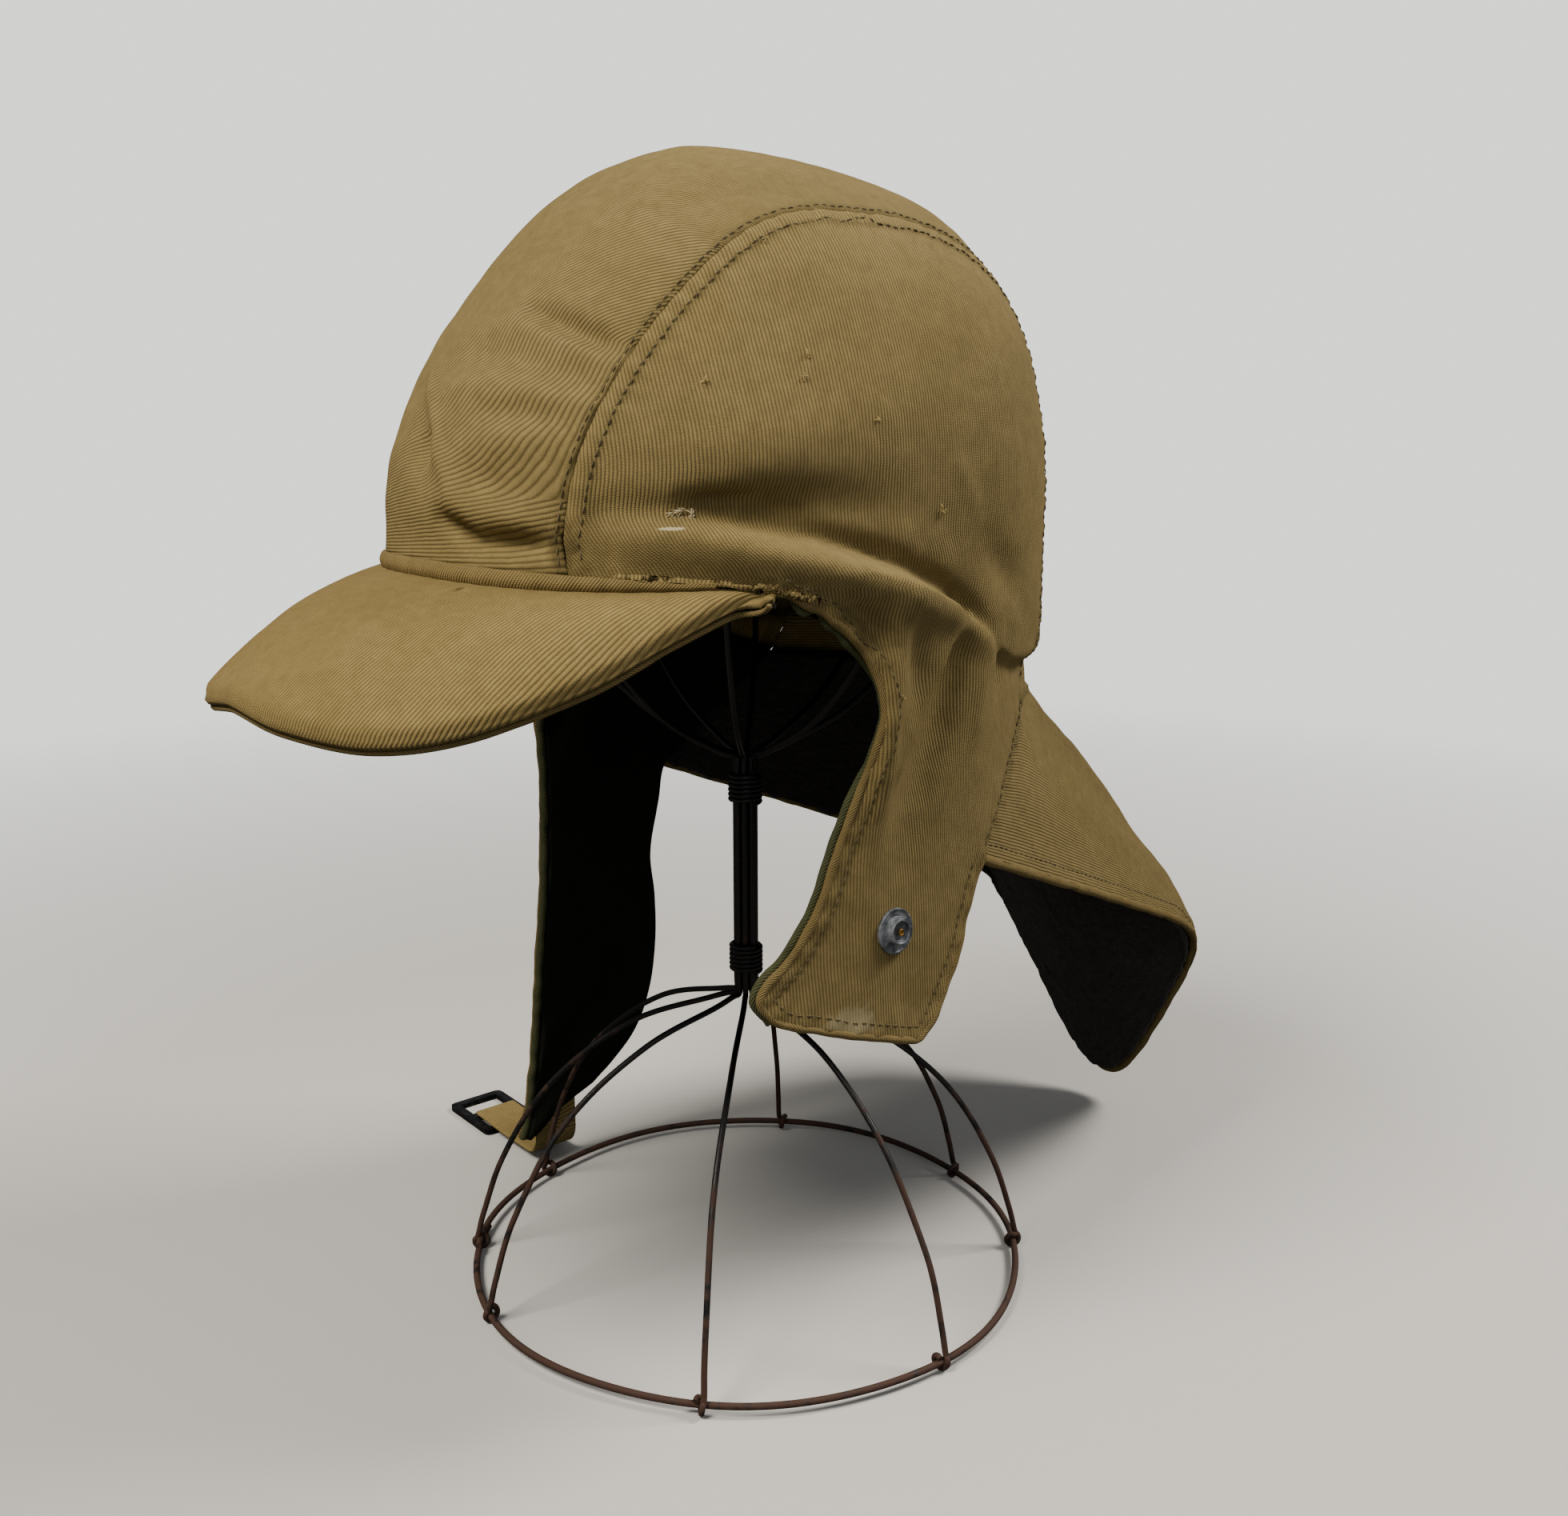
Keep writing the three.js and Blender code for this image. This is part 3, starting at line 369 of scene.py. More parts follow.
def stitchPart(path, up):
    # one fat stitch after the other, each with its ends sunk into the cloth
    along = arcLength(path)
    sides, sunk, radius = stitch["sides"], stitch["sunk"], stitch["radius"]
    rings = list(zip((-0.5, -0.36, 0, 0.36, 0.5), (0.3, 0.85, 1, 0.85, 0.3), (-1, -0.25, 0.35, -0.25, -1)))
    angles = np.arange(sides) / sides * 2 * np.pi
    vertices, faces = [], []
    for k in range(int(along[-1] / stitchPitch)):
        middle = (k + 0.5) * stitchPitch + chance.normal(0, 0.08)
        size = stitch["length"] * chance.uniform(0.88, 1.06)
        ends = between(middle + np.array([-1, 1]) * size / 2, along, path)
        centre = (ends[0] + ends[1]) / 2
        tangent = unit(ends[1] - ends[0])
        side = unit(np.cross(tangent, between([middle], along, up)[0]))
        normal = np.cross(side, tangent)
        side = unit(side + tangent * chance.normal(0, 0.05))
        start = len(rings) * sides * k
        for share, swell, lift in rings:
            base = centre + tangent * share * size + normal * (lift * sunk + radius * 0.4)
            for angle in angles:
                vertices.append(base + (side * np.cos(angle) + normal * np.sin(angle)) * radius * swell)
        for a in range(start, start + (len(rings) - 1) * sides, sides):
            for j in range(sides):
                n = (j + 1) % sides
                faces.append([a + j, a + sides + j, a + sides + n, a + n])
        faces.append([start + j for j in range(sides)])
        faces.append([start + (len(rings) - 1) * sides + j for j in reversed(range(sides))])
    vertices = np.array(vertices)
    return part(vertices, faces, vertices[:, :2], np.zeros(len(vertices)))


def makePiece(name, parts, material, slotName, *nodes):
    vertices = np.concatenate([p["vertices"] for p in parts])
    uv = np.concatenate([p["uv"] for p in parts])
    wear = np.concatenate([p["wear"] for p in parts])
    faces, start = [], 0
    for p in parts:
        faces += [[int(i) + start for i in face] for face in p["faces"]]
        start += len(p["vertices"])
    mesh = bpy.data.meshes.new(name)
    mesh.from_pydata(((vertices + shift) / 1000).tolist(), [], faces)
    layer = mesh.uv_layers.new(name="ribs")
    corners = np.empty(len(mesh.loops), int)
    mesh.loops.foreach_get("vertex_index", corners)
    layer.data.foreach_set("uv", uv[corners].astype(np.float32).ravel())
    mesh.attributes.new("wear", "FLOAT", "POINT").data.foreach_set("value", wear.astype(np.float32))
    mesh.polygons.foreach_set("use_smooth", [True] * len(mesh.polygons))
    mesh.materials.append(material)
    mesh.update()
    piece = bpy.data.objects.new(name, mesh)
    bpy.context.scene.collection.objects.link(piece)
    return setUp(piece, slotName, *nodes)


def setUp(piece, slotName, *nodes):
    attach(piece, "root")
    if nodes:
        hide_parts(*nodes)
    return piece


print("stage: materials")


def linear(text):
    values = [int(text[i:i + 2], 16) / 255 for i in (1, 3, 5)]
    return tuple(v / 12.92 if v <= 0.04045 else ((v + 0.055) / 1.055) ** 2.4 for v in values) + (1,)


def addNode(tree, kind, inputs=(), **settings):
    node = tree.nodes.new(kind)
    for key, value in settings.items():
        setattr(node, key, value)
    for key, value in dict(inputs).items():
        if isinstance(value, bpy.types.NodeSocket):
            tree.links.new(value, node.inputs[key])
        else:
            node.inputs[key].default_value = value
    return node


def mathNode(tree, operation, *values):
    return addNode(tree, "ShaderNodeMath", enumerate(values), operation=operation).outputs[0]


def mixColour(tree, factor, first, second, blend="MIX"):
    node = addNode(tree, "ShaderNodeMix", {"Factor": factor}, data_type="RGBA", blend_type=blend)
    for key, value in ((6, first), (7, second)):
        if isinstance(value, bpy.types.NodeSocket):
            tree.links.new(value, node.inputs[key])
        else:
            node.inputs[key].default_value = value
    return node.outputs[2]


def ramp(tree, value, low, high, start=0.0, end=1.0):
    return addNode(tree, "ShaderNodeMapRange", {"Value": value, 1: low, 2: high, 3: start, 4: end}).outputs[0]


def bumped(tree, shader, height, depthMm, strength=1.0):
    sockets = {"Height": height, "Strength": strength, "Distance": depthMm / 1000}
    node = addNode(tree, "ShaderNodeBump", sockets)
    tree.links.new(node.outputs[0], shader.inputs["Normal"])


def startMaterial(name):
    material = bpy.data.materials.new(name)
    material.use_nodes = True
    tree = material.node_tree
    place = addNode(tree, "ShaderNodeTexCoord").outputs["Object"]
    return material, tree, tree.nodes["Principled BSDF"], place


def noiseOf(tree, place, sizeMm, detail=2, roughness=0.5):
    node = addNode(tree, "ShaderNodeTexNoise", {"Vector": place, "Scale": 1000 / sizeMm, "Detail": detail,
                                                "Roughness": roughness})
    return node.outputs["Fac"]


def spotOf(tree, place, centre, size):
    # 1 inside a patch with ragged edges round a place in mm, 0 outside
    middle = tuple((np.array(centre) + shift) / 1000)
    offset = addNode(tree, "ShaderNodeVectorMath", {0: place, 1: middle}, operation="SUBTRACT").outputs[0]
    scaled = addNode(tree, "ShaderNodeVectorMath", {0: offset, 1: tuple(1000 / s for s in size)},
                     operation="MULTIPLY").outputs[0]
    away = addNode(tree, "ShaderNodeVectorMath", {0: scaled}, operation="LENGTH").outputs["Value"]
    ragged = mathNode(tree, "MULTIPLY_ADD", noiseOf(tree, place, 2.5, 3), 1.1, -0.55)
    total = mathNode(tree, "ADD", away, ragged)
    return ramp(tree, total, 1.15, 0.7)


def clothMaterial(name, look, spots=()):
    material, tree, shader, place = startMaterial(name)
    uv = addNode(tree, "ShaderNodeUVMap", uv_map="ribs").outputs[0]
    split = addNode(tree, "ShaderNodeSeparateXYZ", {0: uv})
    sway = mathNode(tree, "MULTIPLY_ADD", noiseOf(tree, place, 9, 3), look["sway"], -look["sway"] / 2)
    across = mathNode(tree, "ADD", split.outputs[0], sway)
    phase = mathNode(tree, "DIVIDE", across, look["pitch"])
    wave = mathNode(tree, "COSINE", mathNode(tree, "MULTIPLY", phase, 2 * math.pi))
    rib = mathNode(tree, "POWER", mathNode(tree, "MULTIPLY_ADD", wave, 0.5, 0.5), 0.55)
    index = mathNode(tree, "FLOOR", mathNode(tree, "ADD", phase, 0.5))
    stagger = addNode(tree, "ShaderNodeTexWhiteNoise", {"W": index}, noise_dimensions="1D").outputs["Value"]
    pickPhase = mathNode(tree, "ADD", mathNode(tree, "DIVIDE", split.outputs[1], look["pick"]), stagger)
    pickWave = mathNode(tree, "COSINE", mathNode(tree, "MULTIPLY", pickPhase, 2 * math.pi))
    pick = mathNode(tree, "MULTIPLY_ADD", pickWave, 0.17, 0.83)
    fuzz = noiseOf(tree, place, 0.7, 3, 0.7)
    height = mathNode(tree, "MULTIPLY", rib, pick)
    height = mathNode(tree, "ADD", height, mathNode(tree, "MULTIPLY", fuzz, look["fuzz"]))
    bumped(tree, shader, height, look["relief"])

    patches = ramp(tree, noiseOf(tree, place, 70, 4, 0.6), 0.36, 0.66)
    crest = mixColour(tree, patches, linear(look["crest"]), linear(look["faded"]))
    streaks = ramp(tree, noiseOf(tree, place, 4, 5, 0.7), 0.3, 0.7, 0.0, 0.35)
    crest = mixColour(tree, streaks, crest, linear(look["groove"]))
    # the rib grooves take the darker groove colour, by the rib height: painted shade in the grooves
    colour = mixColour(tree, ramp(tree, height, 0.05, 0.85), linear(look["groove"]), crest)
    wear = addNode(tree, "ShaderNodeAttribute", attribute_name="wear").outputs["Fac"]
    colour = mixColour(tree, wear, colour, linear(look["seam"]))
    for spot in spots:
        strength = mathNode(tree, "MULTIPLY", spotOf(tree, place, spot["at"], spot["size"]), spot["strength"])
        colour = mixColour(tree, strength, colour, linear(spot["colour"]))
    tree.links.new(colour, shader.inputs["Base Color"])
    shader.inputs["Roughness"].default_value = 0.92
    shader.inputs["Specular IOR Level"].default_value = 0.2
    shader.inputs["Sheen Weight"].default_value = look["sheen"]
    shader.inputs["Sheen Roughness"].default_value = 0.6
    shader.inputs["Sheen Tint"].default_value = linear(look["faded"])
    return material


khakiLook = {"pitch": ribPitch, "pick": 0.46, "relief": 0.24, "sway": 0.7, "fuzz": 0.3, "sheen": 0.1,
             "crest": "#8f7d4d", "faded": "#9b8858", "groove": "#4c4023", "seam": "#554c2c"}
khakiSpots = [
    {"at": (71.2, -80, 20.2), "size": (3, 4.4, 0.5), "colour": "#cfc49c", "strength": 0.75},
    # the torn hole, painted as a nearly black spot: painted shade of the hat's inside seen through it
    {"at": (72.3, -76.7, 24.9), "size": (3, 2.6, 0.8), "colour": "#15100a", "strength": 0.95},
    {"at": (51, -102, 15), "size": (5, 5, 7), "colour": "#3c3218", "strength": 0.5},
    {"at": (94, -34, -126), "size": (6, 9, 5), "colour": "#b3a985", "strength": 0.4},
    {"at": (95, -8, -122), "size": (6, 7, 6), "colour": "#6a5a30", "strength": 0.35},
]
khaki = clothMaterial("ribbed khaki cotton", khakiLook, khakiSpots)  # faded tan, worn ribs
billLook = {**khakiLook, "pitch": 0.95, "pick": 0.48,
            "crest": "#978351", "faded": "#a48f5d", "groove": "#54461f"}
billSpots = [
    {"at": (28, -121, 2), "size": (1.6, 2.4, 1.6), "colour": "#4a3a18", "strength": 0.7},
    {"at": (0, -165, -18), "size": (40, 20, 14), "colour": "#7a6638", "strength": 0.25},
]
billCloth = clothMaterial("ribbed khaki cotton of the bill", billLook, billSpots)  # finer ribs, a little paler
trimLook = {**khakiLook, "pitch": 1.0, "crest": "#978250", "faded": "#a18c5b"}
trimCloth = clothMaterial("khaki cotton hem", trimLook)  # hems and welt, a little paler than the panels
oliveLook = {"pitch": 0.8, "pick": 0.5, "relief": 0.05, "sway": 0.2, "fuzz": 0.5, "sheen": 0.05,
             "crest": "#14170f", "faded": "#1b1e15", "groove": "#0a0b08", "seam": "#0b0d08"}
olive = clothMaterial("dark olive cotton lining", oliveLook)  # smooth; colours darkened to nearly black, painted shade of the hat's inside
oliveRollLook = {**oliveLook, "pitch": 1.3, "relief": 0.25,
                 "crest": "#5a5f3e", "faded": "#6a6c4a", "groove": "#2c2f1a"}
oliveRoll = clothMaterial("olive bound edge", oliveRollLook)  # the lining's own cloth, lightened against the shade it sits in: painted light; paler than the lining, whose colours hold painted shade
webLook = {"pitch": 1.2, "pick": 1.6, "relief": 0.3, "sway": 0.1, "fuzz": 0.2, "sheen": 0.1,
           "crest": "#a8925c", "faded": "#b09b66", "groove": "#5e4f2c", "seam": "#7a6a40"}
webbing = clothMaterial("tan cotton webbing", webLook)  # the chin strap, a coarser weave


def pileMaterial():
    material, tree, shader, place = startMaterial("dark napped pile")  # matted brown-grey pile, its colours darkened for painted shade inside the neck flap
    clumps = noiseOf(tree, place, 3.5, 5, 0.75)
    fine = noiseOf(tree, place, 0.8, 3, 0.8)
    total = mathNode(tree, "MULTIPLY_ADD", clumps, 1.2, mathNode(tree, "MULTIPLY", fine, 0.5))
    bumped(tree, shader, total, 1.1)
    colour = mixColour(tree, ramp(tree, total, 0.6, 1.1), linear("#0f0d0b"), linear("#2c2824"))
    tree.links.new(colour, shader.inputs["Base Color"])
    shader.inputs["Roughness"].default_value = 1.0
    shader.inputs["Sheen Weight"].default_value = 0.15
    shader.inputs["Sheen Roughness"].default_value = 0.5
    return material


pile = pileMaterial()


def plainMaterial(name, first, second, sizeMm, roughness, metallic=0.0, relief=0.0):
    material, tree, shader, place = startMaterial(name)
    pattern = noiseOf(tree, place, sizeMm, 5, 0.65)
    colour = mixColour(tree, ramp(tree, pattern, 0.42, 0.6), linear(first), linear(second))
    tree.links.new(colour, shader.inputs["Base Color"])
    shader.inputs["Metallic"].default_value = metallic
    rough = ramp(tree, pattern, 0.3, 0.7, roughness - 0.12, roughness + 0.15)
    tree.links.new(rough, shader.inputs["Roughness"])
    if relief:
        bumped(tree, shader, pattern, relief)
    return material


thread = plainMaterial("dark olive cotton thread", "#51472a", "#6b5f3e", 3, 0.9)  # the rows of stitches
paleThread = plainMaterial("frayed pale cotton", "#b9aa7c", "#dcd2ae", 1.2, 0.9)  # yarn ends round the torn hole
pillLint = plainMaterial("tan cotton lint", "#a8935c", "#bda96f", 1.5, 0.95)  # fluff on the left side panel
gunmetal = plainMaterial("worn gunmetal", "#565b60", "#8b9095", 3, 0.42, 0.55, 0.03)  # the snap stud
brass = plainMaterial("dull brass", "#8a6a34", "#b08a4a", 1, 0.4, 0.9)  # the stud's eyelet
blackMetal = plainMaterial("blackened steel", "#17171a", "#303033", 4, 0.5, 0.7, 0.03)  # the strap's slide


def wireMaterial():
    material, tree, shader, place = startMaterial("black wire with rust")  # enamel, rusting low down
    rust = noiseOf(tree, place, 9, 5, 0.7)
    height = addNode(tree, "ShaderNodeSeparateXYZ", {0: place}).outputs[2]
    low = ramp(tree, height, 0.11, 0.02, -0.1, 0.14)
    share = ramp(tree, mathNode(tree, "ADD", rust, low), 0.5, 0.62, 0.0, 0.85)
    tree.links.new(mixColour(tree, share, linear("#0c0b0b"), linear("#4a3226")), shader.inputs["Base Color"])
    tree.links.new(ramp(tree, share, 0.0, 1.0, 0.42, 0.9), shader.inputs["Roughness"])
    bumped(tree, shader, noiseOf(tree, place, 1.2, 3), 0.2, 0.6)
    return material


wireBlack = wireMaterial()

print("stage: crown and side panels")


def relief(points, seams, hems):
    # creases, soft lumps, raised seam allowances with their rows of stitches, hems and puckers
    height = creaseHeight(points) + 0.55 * lumps(points, 26, 1) + 0.3 * lumps(points, 9, 2)
    wear = np.zeros(points.shape[:-1])
    for path, band, row in seams:
        away, along = nearest(path, points)
        wobble = 2.5 * lumps(points, 12, 3)
        wave = np.sin(2 * np.pi * along / seamShape["puckerPitch"] + wobble)
        atRow = np.exp(-((away - row) / seamShape["rowWidth"]) ** 2)
        hold = 0.55 + 0.45 * np.cos(2 * np.pi * along / stitchPitch)
        height += seamShape["raised"] * (1 - ease(band - 0.6, band + 1.6, away))
        height -= seamShape["groove"] * np.exp(-(away / seamShape["grooveWidth"]) ** 2)
        height += seamShape["pucker"] * wave * np.exp(-((away - band / 2) / (band * 0.9)) ** 2)
        height -= seamShape["sink"] * hold * atRow
        wear = np.maximum(wear, seamShape["rowWear"] * atRow)
        wear = np.maximum(wear, seamShape["seamWear"] * np.exp(-(away / seamShape["rowWidth"]) ** 2))
    for path, band in hems:
        away, along = nearest(path, points)
        wave = np.sin(2 * np.pi * along / hemShape["puckerPitch"] + 3 * lumps(points, 14, 4))
        atRow = np.exp(-((away - band) / hemShape["rowWidth"]) ** 2)
        height += hemShape["raised"] * (1 - ease(band - 0.5, band + 1.4, away))
        height += hemShape["pucker"] * wave * np.exp(-(away / band) ** 2)
        height -= hemShape["sink"] * (0.8 + 0.2 * np.cos(2 * np.pi * along / stitchPitch)) * atRow
        wear = np.maximum(wear, hemShape["wear"] * np.exp(-((away - band) / 1.0) ** 2))
    return height, wear


def seamLine(side):
    station = np.linspace(-1.0, 2.0, 500)
    return drape(crownPoint(side * seamX(station), station))


def panel(points, uv, seams, hems):
    height, wear = relief(points, seams, hems)
    points = points + normalsOf(points) * height[..., None]
    sheet = sheetPart(points, cloth["wall"], uv, wear)
    return {"points": points, "normals": normalsOf(points), "part": sheet}


def onPanel(sheet, path):
    flat, normals = sheet["points"].reshape(-1, 3), sheet["normals"].reshape(-1, 3)
    tree = treeOf(flat)
    found = [tree.find(p)[1] for p in path]
    up = normals[found]
    lift = np.sum((path - flat[found]) * up, axis=1, keepdims=True)
    return path - lift * up, up


def inset(edge, up, distance):
    # line beside an edge, moved across it along the cloth
    path = resample(edge, 1.0)
    along = np.linspace(0, 1, len(edge))
    ups = unit(between(np.linspace(0, 1, len(path)), along, up))
    return movingMean(path + np.cross(ups, unit(np.gradient(path, axis=0))) * distance)


centreColumns = 84
mid = centreColumns // 2
centreStations = np.concatenate([np.linspace(-1, 0, 9)[:-1], np.linspace(0, 1, 235)[:-1],
                                 np.linspace(1, 2, 44)])
stationGrid, acrossGrid = np.meshgrid(centreStations, np.linspace(1, -1, centreColumns), indexing="ij")
centrePoints = drape(crownPoint(acrossGrid * (seamX(stationGrid) - cloth["seam"]), stationGrid))
rowGap = np.linalg.norm(np.diff(centrePoints[:, mid], axis=0), axis=1)
stripAlong = np.concatenate([[0], np.cumsum(rowGap)])[:, None] + np.zeros(centreColumns)
stepAcross = np.linalg.norm(np.diff(centrePoints, axis=1), axis=2)
stripAcross = -np.concatenate([np.zeros((len(centreStations), 1)), np.cumsum(stepAcross, axis=1)], axis=1)
stripAcross = stripAcross - stripAcross[:, mid:mid + 1]
# how steeply the ribs run across the strip, from the front rim backwards in mm
ribSlope = {"along": [0, 20, 45, 75, 120, 170, 240, 400], "slope": [0.05, 0.2, 0.6, 1.05, 1.1, 0.7, 0.25, 0]}
slope = np.interp(stripAlong, ribSlope["along"], ribSlope["slope"])
centreUv = np.stack([(stripAlong - slope * stripAcross) / np.sqrt(1 + slope ** 2), stripAcross], axis=-1)
seamLeft, seamRight = seamLine(1), seamLine(-1)
centreSeams = [(seam, allowance["centre"], stitchRow["centre"]) for seam in (seamLeft, seamRight)]
centre = panel(centrePoints, centreUv, centreSeams, [])
makePiece("crown_center_panel_cloth", [centre["part"]], khaki, "khaki_cotton", "crown_center_panel")

side = {"templeY": -56, "rootY": 26, "rootDepth": 88, "flare": 19, "flareDrop": 240}
rimRows = [(1.66, 0.75, 1.35), (1.42, 0.665, 1.5), (1.2, 0.6, 1.65), (1, 0.5, 2)]
rootRows = [(0.68, -0.07, 0.25), (0.48, -0.2, 0.5), (0.41, -0.38, 0.76), (0.5, -0.62, 1)]
flapLeft = {"drop": 138, "rows": [
    (-1.35, 0.52, 0.76, 0.7), (-1.6, 0.64, 0.58, 0.77), (-1.92, 0.74, 0.37, 0.85), (-2.24, 0.8, 0.08, 0.93),
    (-2.36, 0.84, -0.12, 0.975), (-2.16, 0.89, -0.3, 1)]}
flapRight = {"drop": 240, "rows": [
    (-1, 0.32, 0.9, 0.43), (-1, 0.43, 0.78, 0.52), (-1.02, 0.55, 0.88, 0.6), (-1.08, 0.66, 0.92, 0.69),
    (-1.1, 0.77, 0.84, 0.78), (-1.12, 0.87, 0.65, 0.85), (-1.18, 0.95, 0.3, 0.9), (-1.3, 1, -0.05, 0.935)]}
archRows, templeRow, rootRow = 9, 13, 17


def seamSide(station):
    return crownPoint(seamX(station), station)[..., 1:]


def sideRows(flap):
    arch = np.linspace(0.48, 0, archRows)
    rows = [(*seamSide(s), *seamSide(1 - s)) for s in arch]
    rows.append((*seamSide(-1), *seamSide(1.2)))
    for y, z, rear in rimRows:
        rows.append((y * side["templeY"], z * crown["rimFront"], *seamSide(rear)))
    nape, root = seamSide(2), np.array([side["rootY"], -side["rootDepth"]])
    for y, z, share in rootRows:
        rows.append((y * side["templeY"], z * side["rootDepth"], *(nape + (root - nape) * share)))
    for frontY, frontZ, rearY, rearZ in flap["rows"]:
        rows.append((frontY * side["rootY"], -frontZ * flap["drop"],
                     rearY * side["rootY"], -rearZ * flap["drop"]))
    return np.array(rows)


def rowEnds(rows, at):
    ends = np.empty((len(at), 4))
    arch = np.linspace(0, archRows - 1, 65)
    stations = 0.48 * (1 - arch / (archRows - 1))
    exact = np.concatenate([seamSide(stations), seamSide(1 - stations)], axis=1)
    places = np.concatenate([arch, np.arange(archRows, templeRow + 1)])
    upper = np.concatenate([exact, rows[archRows:templeRow + 1]])
    for k in range(4):
        ends[:, k] = np.interp(at, places, upper[:, k])
        low = at > templeRow
        ends[low, k] = smooth(at[low], np.arange(templeRow, len(rows)), rows[templeRow:, k])
    return ends


def spread(rows, first, spacing):
    # places along the rows, about evenly spaced on the longest of front edge, middle and rear edge
    places = []
    for i in range(first, len(rows) - 1):
        front = np.linalg.norm(rows[i + 1][:2] - rows[i][:2])
        rear = np.linalg.norm(rows[i + 1][2:] - rows[i][2:])
        count = max(int(max(front, rear, (front + rear) / 2) / spacing), 3)
        places += list(i + np.arange(count) / count)
    return np.array(places + [len(rows) - 1])


def sideGrid(sign, rows, at, across):
    ends = rowEnds(rows, at)
    y = ends[:, 0:1] + (ends[:, 2:3] - ends[:, 0:1]) * across
    z = ends[:, 1:2] + (ends[:, 3:4] - ends[:, 1:2]) * across
    points = drape(np.stack([sign * halfWidthAt(y, z), y, z], axis=-1))
    points[..., 0] += sign * side["flare"] * (np.minimum(z, 0) / side["flareDrop"]) ** 2
    return points


def sideUv(points):
    steps = np.linalg.norm(np.diff(points, axis=1), axis=2)
    along = np.concatenate([np.zeros((len(points), 1)), np.cumsum(steps, axis=1)], axis=1)
    zero = [np.interp(crown["centreY"], points[i, :, 1], along[i]) for i in range(len(points))]
    lean = 0.4 * np.clip(points[..., 2], 0, 15)
    return np.stack([along - np.array(zero)[:, None] + lean, points[..., 2]], axis=-1)


def sidePanel(sign, flap, columns, spacing):
    rows = sideRows(flap)
    at = spread(rows, 0, spacing)
    points = sideGrid(sign, rows, at, np.linspace(0, 1, columns)[None])
    uv = sideUv(points)
    temple, root = np.searchsorted(at, [templeRow, rootRow])
    neckEdge = points[temple:root + 1, -1]
    hem = np.concatenate([points[temple:, 0], points[-1, 1:], points[root:, -1][::-1][1:]])
    seams = [(seamLine(sign), allowance["side"], stitchRow["side"]),
             (neckEdge, allowance["neck"], stitchRow["neck"])]
    if sign < 0:
        points, uv = points[:, ::-1], uv[:, ::-1]
    made = panel(points, uv, seams, [(hem, stitchRow["flapHem"])])
    flat = made["points"] if sign > 0 else made["points"][:, ::-1]
    ups = made["normals"] if sign > 0 else made["normals"][:, ::-1]
    for name, values in (("", flat), ("Up", ups)):
        made["hem" + name] = np.concatenate([values[temple:, 0], values[-1, 1:], values[root:-1, -1][::-1]])
        made["neck" + name] = values[temple:root + 1, -1]
    made["frontCount"] = len(flat) - temple
    made["rows"] = rows
    made["sign"] = sign
    return made


def evened(path, up, step):
    along = arcLength(path)
    places = np.linspace(0, along[-1], int(along[-1] / step) + 1)
    both = np.concatenate([path, up], axis=1)
    out = between(places, along, both)
    out = movingMean(np.concatenate([out[:1].repeat(2, 0), out, out[-1:].repeat(2, 0)]))
    return out[:, :3], unit(out[:, 3:])


rollStep = 1.2
tanRoll = {"width": 2.8, "height": 2.7, "drop": 0.9, "outwards": 0.1}
boundRoll = {"width": 3.0, "height": 2.6, "drop": 3.3, "outwards": 1.2}


def hemRoll(sheet, size, last=None):
    # rolled edge along the flap, with small bulges between the stitches
    path, up = evened(sheet["hem"][:last], sheet["hemUp"][:last], rollStep)
    away = np.cross(unit(np.gradient(path, axis=0)), up) * sheet["sign"]
    centreLine = path - up * size["drop"] + away * size["outwards"]
    swell = 1 + 0.08 * np.sin(arcLength(path) / 3.1) + 0.06 * lumps(path, 5, 5)
    return tubePart(centreLine, size["width"] * swell, size["height"] * swell, 8, up, 0.1, 1.2)


left = sidePanel(1, flapLeft, 150, 1.75)
right = sidePanel(-1, flapRight, 110, 1.9)
for name, sheet, node in (("left", left, "side_panel_left"), ("right", right, "side_panel_right")):
    makePiece(node + "_cloth", [sheet["part"]], khaki, "khaki_cotton", node)
    makePiece("hem_roll_" + name, [hemRoll(sheet, tanRoll)], trimCloth, "khaki_cotton")
    boundEdge = hemRoll(sheet, boundRoll, sheet["frontCount"])
    makePiece("bound_edge_" + name, [boundEdge], oliveRoll, "olive_lining")

print("stage: linings")


def earLining(name, sheet, node):
    rows, sign = sheet["rows"], sheet["sign"]
    at = templeRow + (spread(rows, templeRow, 3.0) - templeRow) * 0.995
    points = sideGrid(sign, rows, at, np.linspace(0.02, 0.995, 60)[None])
    uv = sideUv(points)
    if sign < 0:
        points, uv = points[:, ::-1], uv[:, ::-1]
    folds = 0.8 * lumps(points * (1, 0.6, 1), 16, 6) + 0.5 * lumps(points, 6, 7)
    low = ease(-150, -215, points[..., 2])
    diagonal = 1.6 * low * np.sin((points[..., 1] - points[..., 2] * 0.9) / 5.5 + 2 * lumps(points, 30, 8))
    sunk = np.maximum(-creaseHeight(points), 0)  # the shell's creases push the lining in
    base = points - normalsOf(points) * (cloth["wall"] + cloth["layerGap"] + sunk)[..., None]
    makePiece(name, [sheetPart(base, cloth["lining"], uv, None, folds * 0.5 + diagonal)],
              olive, "olive_lining", node)


earLining("ear_lining_left", left, "lining_ear_left")
earLining("ear_lining_right", right, "lining_ear_right")

bowl = {"depth": cloth["wall"] + cloth["layerGap"] + 5, "sides": 96, "rows": 40}


